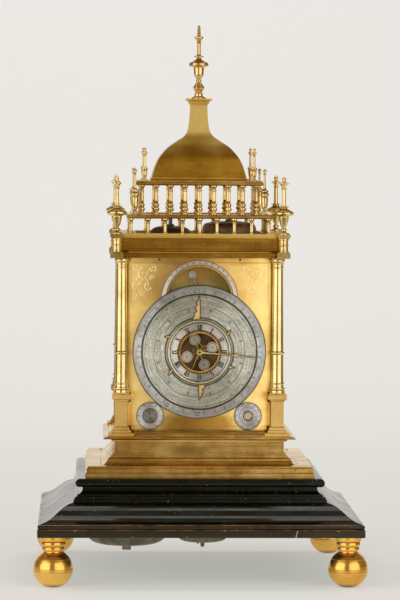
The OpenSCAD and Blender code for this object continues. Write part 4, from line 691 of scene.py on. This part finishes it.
def bow(cx, cy, rx, ry, start, end, steps=9):
    """Points of a stretch of an ellipse, between two angles in degrees."""
    angles = [math.radians(start + (end - start) * i / steps) for i in range(steps + 1)]
    return [(cx + rx * math.cos(t), cy + ry * math.sin(t)) for t in angles]


DIGITS = {
    "0": [bow(0.5, 0.5, 0.42, 0.5, 90, 450, 14)],
    "1": [[(0.25, 0.8), (0.52, 1.0), (0.52, 0.0)]],
    "2": [bow(0.5, 0.72, 0.36, 0.28, 170, -35) + [(0.1, 0.0), (0.9, 0.0)]],
    "3": [bow(0.46, 0.75, 0.34, 0.25, 150, -80), bow(0.46, 0.27, 0.4, 0.27, 80, -150)],
    "4": [[(0.68, 0.0), (0.68, 1.0), (0.08, 0.32), (0.92, 0.32)]],
    "5": [[(0.85, 1.0), (0.24, 1.0), (0.18, 0.56)] + bow(0.46, 0.31, 0.4, 0.31, 110, -150)],
    "6": [bow(0.5, 0.3, 0.38, 0.3, 90, 450, 12), bow(0.9, 0.3, 0.78, 0.7, 178, 100)],
    "7": [[(0.1, 1.0), (0.9, 1.0), (0.38, 0.0)]],
    "8": [bow(0.5, 0.76, 0.3, 0.24, 90, 450, 12), bow(0.5, 0.27, 0.38, 0.27, 90, 450, 12)],
    "9": [bow(0.5, 0.7, 0.38, 0.3, 90, 450, 12), bow(0.1, 0.7, 0.78, 0.7, -2, -80)],
}
ROMAN = ("I", "II", "III", "IIII", "V", "VI", "VII", "VIII", "IX", "X", "XI", "XII")
LETTER_WIDTHS = {"I": 0.5, "V": 1.0, "X": 1.0}
BAR = [([(0.5, -0.3), (0.5, 1.3)], 1.0)]
CROSS = [([(0.5, 0), (0.5, 1)], 1.0), ([(0, 0.6), (1, 0.6)], 1.0)]
HOOK = [(bow(0.5, 0.5, 0.4, 0.4, 0, 300), 1.0)]


def number(value):
    """Lines of a whole number in a 1 x 1 box, with their weights."""
    text = str(value)
    return [
        ([((i + u * 0.8 + 0.1) / len(text), v) for u, v in line], 1.0)
        for i, digit in enumerate(text)
        for line in DIGITS[digit]
    ]


def roman(letters):
    """Lines of a Roman numeral: wide strokes, hairlines and serifs."""
    total = sum(LETTER_WIDTHS[c] for c in letters)
    lines, at = [], 0.0
    for c in letters:
        w = LETTER_WIDTHS[c] / total
        mid, lo, hi = at + w / 2, at + w * 0.12, at + w * 0.88
        if c == "I":
            lines.append(([(mid, 0), (mid, 1)], 1.5))
            lines += [([(lo, e), (hi, e)], 0.5) for e in (0, 1)]
        elif c == "V":
            lines.append(([(lo, 1), (mid, 0)], 1.5))
            lines.append(([(hi, 1), (mid, 0)], 0.6))
            lines += [([(at, 1), (mid - w * 0.1, 1)], 0.5), ([(mid + w * 0.1, 1), (at + w, 1)], 0.5)]
        else:
            lines.append(([(lo, 1), (hi, 0)], 1.5))
            lines.append(([(hi, 1), (lo, 0)], 0.6))
            lines += [([(at, e), (at + w, e)], 0.4) for e in (0, 1)]
        at += w
    return lines


date = Engraving("date_engraving", "case", mats["grey"], DATE_FACE - LIFT)
date.ticks(DIAL, 180, DATE_TRACK, DATE_OUT + 0.2, 0.13)
for i in range(36):
    date.glyph(number(5 * (i % 6) + 5), DIAL, DATE_NUMERALS, i * 10 + 5, 3.0, 0.3, 0.8)
for i in range(12):
    date.glyph(BAR, DIAL, DATE_NUMERALS, i * 30, 3.3, 0.3)
date.make()

calendar = Engraving("calendar_engraving", "calendar_disc", mats["black"], front("calendar_disc") - LIFT)
calendar.ticks(DIAL, 120, 53.6, DAY_TRACK[1], 0.13, 10, DAY_TRACK[0])
calendar.ticks(DIAL, 72, *WEEK_TRACK, 0.11)
calendar.ticks(DIAL, 12, CALENDAR_IN, DAY_TRACK[0], 0.16)
calendar.ticks(DIAL, 60, *MOON_TRACK, 0.11)
for i in range(24):
    calendar.glyph(number(i % 12 + 1), DIAL, DAY_NUMERALS, i * 15 + 7.5, 2.0, 0.24, 0.7)
for i in range(12):
    for k in range(5):
        mark = [(random.uniform(0.1, 0.9), random.uniform(0, 1)) for _ in range(3)]
        calendar.glyph([(mark, 1.0)], DIAL, 47.6, i * 30 + 5 + k * 5, 2.9, 0.2, 0.7)
    calendar.glyph(number(30 - i % 2), DIAL, MONTH_NUMERALS, i * 30 + 15, 3.1, 0.3, 0.7)
    for k in (4, 26):
        calendar.glyph(HOOK, DIAL, MONTH_NUMERALS, i * 30 + k, 1.7, 0.16, 1.0)
    calendar.glyph(CROSS, DIAL, 35.8, i * 30 + 15, 2.2, 0.22)
calendar.make()

hours = Engraving("hour_engraving", "case", mats["black"], front("hour_ring") - LIFT)
hours.ticks(DIAL, 48, *HOUR_TRACK, 0.15)
for i, letters in enumerate(ROMAN):
    squeeze = 0.34 * len(letters) ** 0.75 + 0.25
    hours.glyph(roman(letters), DIAL, HOUR_NUMERALS, 30 * (i + 1), 4.6, 0.66, squeeze)
hours.make()

arch = Engraving("arch_engraving", "case", mats["black"], front("plate_rings") - LIFT)
arch.ticks(ARCH, 48, 33.2, 34.2, 0.13, start=-62, sweep=124)
for i in range(13):
    arch.glyph(number(i % 12 + 1), ARCH, ARCH_NUMERALS, -60 + i * 10, 2.0, 0.3, 0.75)
for centre in SMALL:
    for i in range(12):
        arch.glyph(number(i + 1), centre, SMALL_NUMERALS, i * 30, 1.8, 0.26, 0.8)
    arch.ring(centre, 12.7, 0.14)
arch.ring(SMALL[1], 8.9, 0.16)
arch.ring(SMALL[1], 6.6, 0.12)
arch.ticks(SMALL[1], 24, 6.7, 8.8, 0.12)
arch.make()

age = Engraving("age_engraving", "age_disc", mats["black"], front("age_disc") - LIFT)
age.ticks(SMALL[0], 24, 6.6, 7.4, 0.14, 6, AGE_TRACK[0])
for i in range(6):
    age.ring(polar(SMALL[0], 6.0, i * 1.05), 0.7, 0.2, 14)
age.make()

for i in range(4):
    middle = polar(DIAL, ROUNDEL_PLACE, math.radians(ROUNDEL_TURN + 90 * i))
    star = Engraving(f"roundel_engraving_{i}", "aspect_wheel", mats["black"], front("roundels") - LIFT)
    star.ring(middle, 4.35, 0.5, 48)
    star.ring(middle, 1.0, 0.3, 20)
    for k in range(6):
        star.stroke([polar(middle, r, k * math.pi / 3 + i) for r in (1.4, 2.6, 3.6)], 0.34, 0.5)
    star.make()


def scroll(on, x, z, size, turn, hand, width):
    """Leaf scroll: a spiral with small leaves on its back."""
    line = []
    for i in range(36):
        t = i / 35
        line.append(polar((x, z), size * (1 - 0.86 * t), math.radians(turn + hand * 430 * t)))
    on.burr(line, width, 0.2 * width)
    for i in range(1, 20, 3):
        px, pz = line[i]
        far = math.hypot(px - x, pz - z)
        ox, oz = (px - x) / far * size, (pz - z) / far * size
        leaf = []
        for t in (0.0, 0.35, 0.7, 1.0):
            curl = hand * 0.26 * math.sin(2.2 * t)
            leaf.append((px + 0.38 * t * ox - curl * oz, pz + 0.38 * t * oz + curl * ox))
        on.burr(leaf, width * 0.9, 0.18 * width, 0.2)


# x, z, size, turn of the outer end and hand of each scroll in the dial plate's upper right corner
SCROLLS = (
    (55.0, 297.0, 6.2, 90, -1), (62.3, 286.0, 4.4, 270, 1), (45.2, 303.0, 3.4, 0, -1),
    (51.0, 285.5, 4.0, 200, 1), (63.2, 302.6, 3.2, 150, -1), (64.0, 275.5, 2.8, 60, 1),
    (56.4, 277.8, 2.6, 120, -1), (46.3, 293.8, 2.4, 300, 1),
)
# x, z and length of each waved stem between them
STEMS = ((49.5, 292.0, 7.0), (57.5, 290.0, 5.5), (60.5, 294.0, 6.0), (58.0, 281.5, 5.0), (50.0, 300.0, 6.0))
BORDER_X, BORDER_TOP, BORDER_LOW = 66.9, 307.6, 148.3
PLATE_PIN = (39.4, 311.2)
plate_lines = Engraving("plate_engraving", "case", mats["pale"], FACE - 0.01, "gilt_brass")
plate_dark = Engraving("plate_shading", "case", mats["shade"], FACE - 0.02, "gilt_brass")
for s in (-1, 1):
    for x, z, size, turn, hand in SCROLLS:
        scroll(plate_lines, s * x, z, size, turn if s > 0 else 180 - turn, s * hand, 0.5)
    for x, z, tall in STEMS:
        stem = [(s * (x + 1.6 * math.sin(k * 0.9)), z + tall * (k / 6 - 0.5)) for k in range(7)]
        plate_lines.burr(stem, 0.45, 0.1)
    plate_dark.stroke([(s * BORDER_X, 268), (s * BORDER_X, BORDER_TOP), (s * 39, BORDER_TOP)], 0.3)
    plate_dark.stroke([(s * BORDER_X, 170), (s * BORDER_X, BORDER_LOW), (s * 15, BORDER_LOW)], 0.3)
for s in (-1, 1):
    pin_ring = Engraving(f"plate_pin_{s}", "case", mats["black"], FACE - 0.45, "gilt_brass")
    pin_ring.ring((s * PLATE_PIN[0], PLATE_PIN[1]), 0.5, 0.9, 16)
    pin_ring.make()
plate_dark.stroke([(-67, 308.6), (67, 308.6)], 0.35)
plate_dark.make()
plate_lines.make()


def outline(name, width, from_radius=0.0):
    """Painted shadow: a dark line that lies around a flat piece, just behind its largest face in front of the
    plate.

    from_radius leaves out what lies nearer to the dial's centre, in mm."""
    mesh = nodes[name].data
    planes = {}
    for face in mesh.polygons:
        out = math.hypot(face.center.x, face.center.z - DIAL[1] * MM)
        if face.normal.y < -0.99 and face.center.y < FACE * MM and out > from_radius * MM:
            planes.setdefault(round(face.center.y, 5), []).append(face)
    depth = max(planes, key=lambda y: sum(face.area for face in planes[y]))
    count = {}
    for face in planes[depth]:
        corners = [mesh.vertices[i].co for i in face.vertices]
        spots = [(round(corner.x / MM, 3), round(corner.z / MM, 3)) for corner in corners]
        for a, b in zip(spots, spots[1:] + spots[:1]):
            key = (min(a, b), max(a, b))
            count[key] = count.get(key, 0) + 1
    line = Engraving(f"{name}_outline", name, mats["rim"], depth / MM + 0.1, "gilt_brass")
    for (a, b), faces_here in sorted(count.items()):
        if faces_here == 1 and math.dist(a, DIAL) > from_radius:
            line.stroke([a, b], width)
    line.make()


# Painted shadow lines around the pointer ring's flames and around the main hand.
outline("pointer_ring", 1.0, 30.0)
outline("main_hand", 0.7)


# Small fastenings
def turned_piece(name, profile, place, axis, body, material):
    """A small turned piece from (radius, height) in mm, with its foot at place and along an axis."""
    around = 20
    angles = [2 * math.pi * k / around for k in range(around)]
    verts = [(*polar((0, 0), r * MM, t), h * MM) for r, h in profile for t in angles]
    faces = []
    for i in range(len(profile) - 1):
        for k in range(around):
            a, b = i * around + k, i * around + (k + 1) % around
            faces.append((a, b, b + around, a + around))
    faces.append(tuple(range((len(profile) - 1) * around, len(profile) * around)))
    made = new_object(name, verts, faces, material, smooth=True)
    turn = Vector(axis).to_track_quat("Z", "Y").to_matrix().to_4x4()
    made.data.transform(Matrix.Translation(Vector(place) * MM) @ turn)
    made.data.update()
    edge = made.modifiers.new("edge", "BEVEL")
    edge.width = 0.08 * MM
    edge.limit_method = "ANGLE"
    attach(made, body)


RIVET = [(1.35, 0.0), (1.35, 0.25), (1.05, 0.45), (0.95, 0.3), (0.6, 0.42), (0.01, 0.5)]
PIN = [(1.05, 0.0), (1.05, 0.12), (0.8, 0.2), (0.01, 0.2)]
SCREW = [(1.6, 0.0), (1.6, 0.35), (1.3, 0.6), (0.3, 0.66), (0.01, 0.66)]
FORWARD, BACKWARD = (0, -1, 0), (0, 1, 0)
for i, angle in enumerate(DATE_PIN_ANGLES):
    x, z = polar(DIAL, DATE_PINS, math.radians(angle))
    turned_piece(f"date_rivet_{i}", RIVET, (x, front("date_ring"), z), FORWARD, "case", mats["date"])
    rivet_ring = Engraving(f"date_rivet_ring_{i}", "case", mats["black"], front("date_ring") - 0.04)
    rivet_ring.ring((x, z), 1.55, 0.6, 24)
    rivet_ring.make()
turned_piece("hand_pin", PIN, (DIAL[0], front("main_hand"), DIAL[1]), FORWARD, "main_hand",
             mats["black"])
screw_seat = reach("back_plate", 1)[1] - 0.05
for i, (x, z) in enumerate(((-64, 152), (64, 152), (-64, 306), (64, 306))):
    turned_piece(f"back_screw_{i}", SCREW, (x, screw_seat, z), BACKWARD, "case", mats["steel"])

# The slab's front: a drying crack filled with old pale wax, and small chips at (x, z) with half a length
CHIPS = ((-120, 55.4, 1.4), (-66, 49.6, 1.0), (22, 55.6, 0.9), (131, 55.2, 1.3), (118, 49.4, 0.8),
         (-14, 49.5, 1.1))
crack = Engraving("slab_crack", "case", mats["wax"], front("plinth_slab") - 0.04, "ebonised_wood")
crack.stroke([(91.6, 56.0), (91.3, 53.6), (90.6, 51.6), (90.2, 49.0)], 1.0, 0.7)
for x, z, half in CHIPS:
    crack.stroke([(x - half, z), (x, z + 0.2), (x + half * 0.8, z - 0.1)], 0.5, 0.5)
crack.make()

# Room, light and camera, in metres
PAPER = (0.80, 0.79, 0.76)
SEEN_PAPER = tuple(0.62 * part for part in (1.0, 1.015, 1.15))
PAPER_GLOW = (0.90, 0.93, 0.85)
GLOW_POWER = 0.42
HALF_SHEET, SHEET_FROM, SHEET_BENDS, BEND, SHEET_TOP = 1.35, -0.55, 1.15, 0.45, 1.0


def paper_sheet():
    """White paper: plain for the light that it throws back, a little brighter for the eye."""
    made = bpy.data.materials.new("paper")
    made.use_nodes = True
    tree = made.node_tree
    tree.nodes.clear()
    link = tree.links.new
    plain, seen = (tree.nodes.new("ShaderNodeBsdfDiffuse") for _ in range(2))
    plain.inputs[0].default_value = (*PAPER, 1)
    seen.inputs[0].default_value = (*SEEN_PAPER, 1)
    glow = tree.nodes.new("ShaderNodeEmission")
    glow.inputs[0].default_value = (*PAPER_GLOW, 1)
    glow.inputs[1].default_value = GLOW_POWER
    both = tree.nodes.new("ShaderNodeAddShader")
    link(seen.outputs[0], both.inputs[0])
    link(glow.outputs[0], both.inputs[1])
    path = tree.nodes.new("ShaderNodeLightPath")
    eye = tree.nodes.new("ShaderNodeMath")
    eye.operation = "MAXIMUM"
    link(path.outputs["Is Camera Ray"], eye.inputs[0])
    link(path.outputs["Is Glossy Ray"], eye.inputs[1])
    pick = tree.nodes.new("ShaderNodeMixShader")
    link(eye.outputs[0], pick.inputs[0])
    link(plain.outputs[0], pick.inputs[1])
    link(both.outputs[0], pick.inputs[2])
    out = tree.nodes.new("ShaderNodeOutputMaterial")
    link(pick.outputs[0], out.inputs[0])
    return made


sheet = [(SHEET_FROM, 0.0), (SHEET_BENDS, 0.0)]
for i in range(1, 17):
    a = math.pi / 2 * i / 16
    sheet.append((SHEET_BENDS + BEND * math.sin(a), BEND * (1 - math.cos(a))))
sheet.append((SHEET_BENDS + BEND, SHEET_TOP))
verts = [(x, y, z) for y, z in sheet for x in (-HALF_SHEET, HALF_SHEET)]
faces = [(2 * i, 2 * i + 1, 2 * i + 3, 2 * i + 2) for i in range(len(sheet) - 1)]
new_object("backdrop", verts, faces, paper_sheet(), smooth=True)


def lamp(name, place, aim, size, power):
    data = bpy.data.lights.new(name, "AREA")
    data.shape = "RECTANGLE"
    data.size, data.size_y = size
    data.energy = power
    made = bpy.data.objects.new(name, data)
    made.location = place
    made.rotation_euler = (Vector(aim) - Vector(place)).to_track_quat("-Z", "Y").to_euler()
    bpy.context.scene.collection.objects.link(made)


lamp("left_box", (-1.865, -1.51, 0.9), (0, 0, 0.9), (2.66, 2.6), 30)
lamp("right_box", (1.444, -1.917, 0.9), (0, 0, 0.9), (2.66, 2.6), 28)
lamp("back_soft", (0.0, 0.5, 2.7), (0, 1.6, 0.6), (3.0, 0.8), 16)

scene = bpy.context.scene
scene.view_settings.view_transform = "Standard"
scene.world = bpy.data.worlds.new("room")
scene.world.use_nodes = True
background = scene.world.node_tree.nodes["Background"]
background.inputs[0].default_value = (0.5, 0.36, 0.2, 1)
background.inputs[1].default_value = 0.5

CAMERA_PLACE = (-0.1123, -3.066, 0.4263)
YAW, PITCH, ROLL = 0.0374, 0.0512, -0.0055
camera_data = bpy.data.cameras.new("camera")
camera_data.sensor_width = 36.0
camera_data.lens = 185.3
camera_data.clip_end = 60.0
camera = bpy.data.objects.new("camera", camera_data)
scene.collection.objects.link(camera)
scene.camera = camera
ahead = Vector((math.sin(YAW) * math.cos(PITCH), math.cos(YAW) * math.cos(PITCH), -math.sin(PITCH)))
right = Vector((math.cos(YAW), -math.sin(YAW), 0))
down = ahead.cross(right)
across = math.cos(ROLL) * right + math.sin(ROLL) * down
below = -math.sin(ROLL) * right + math.cos(ROLL) * down
turned = Matrix((across, -below, -ahead)).transposed().to_4x4()
camera.matrix_world = Matrix.Translation(CAMERA_PLACE) @ turned
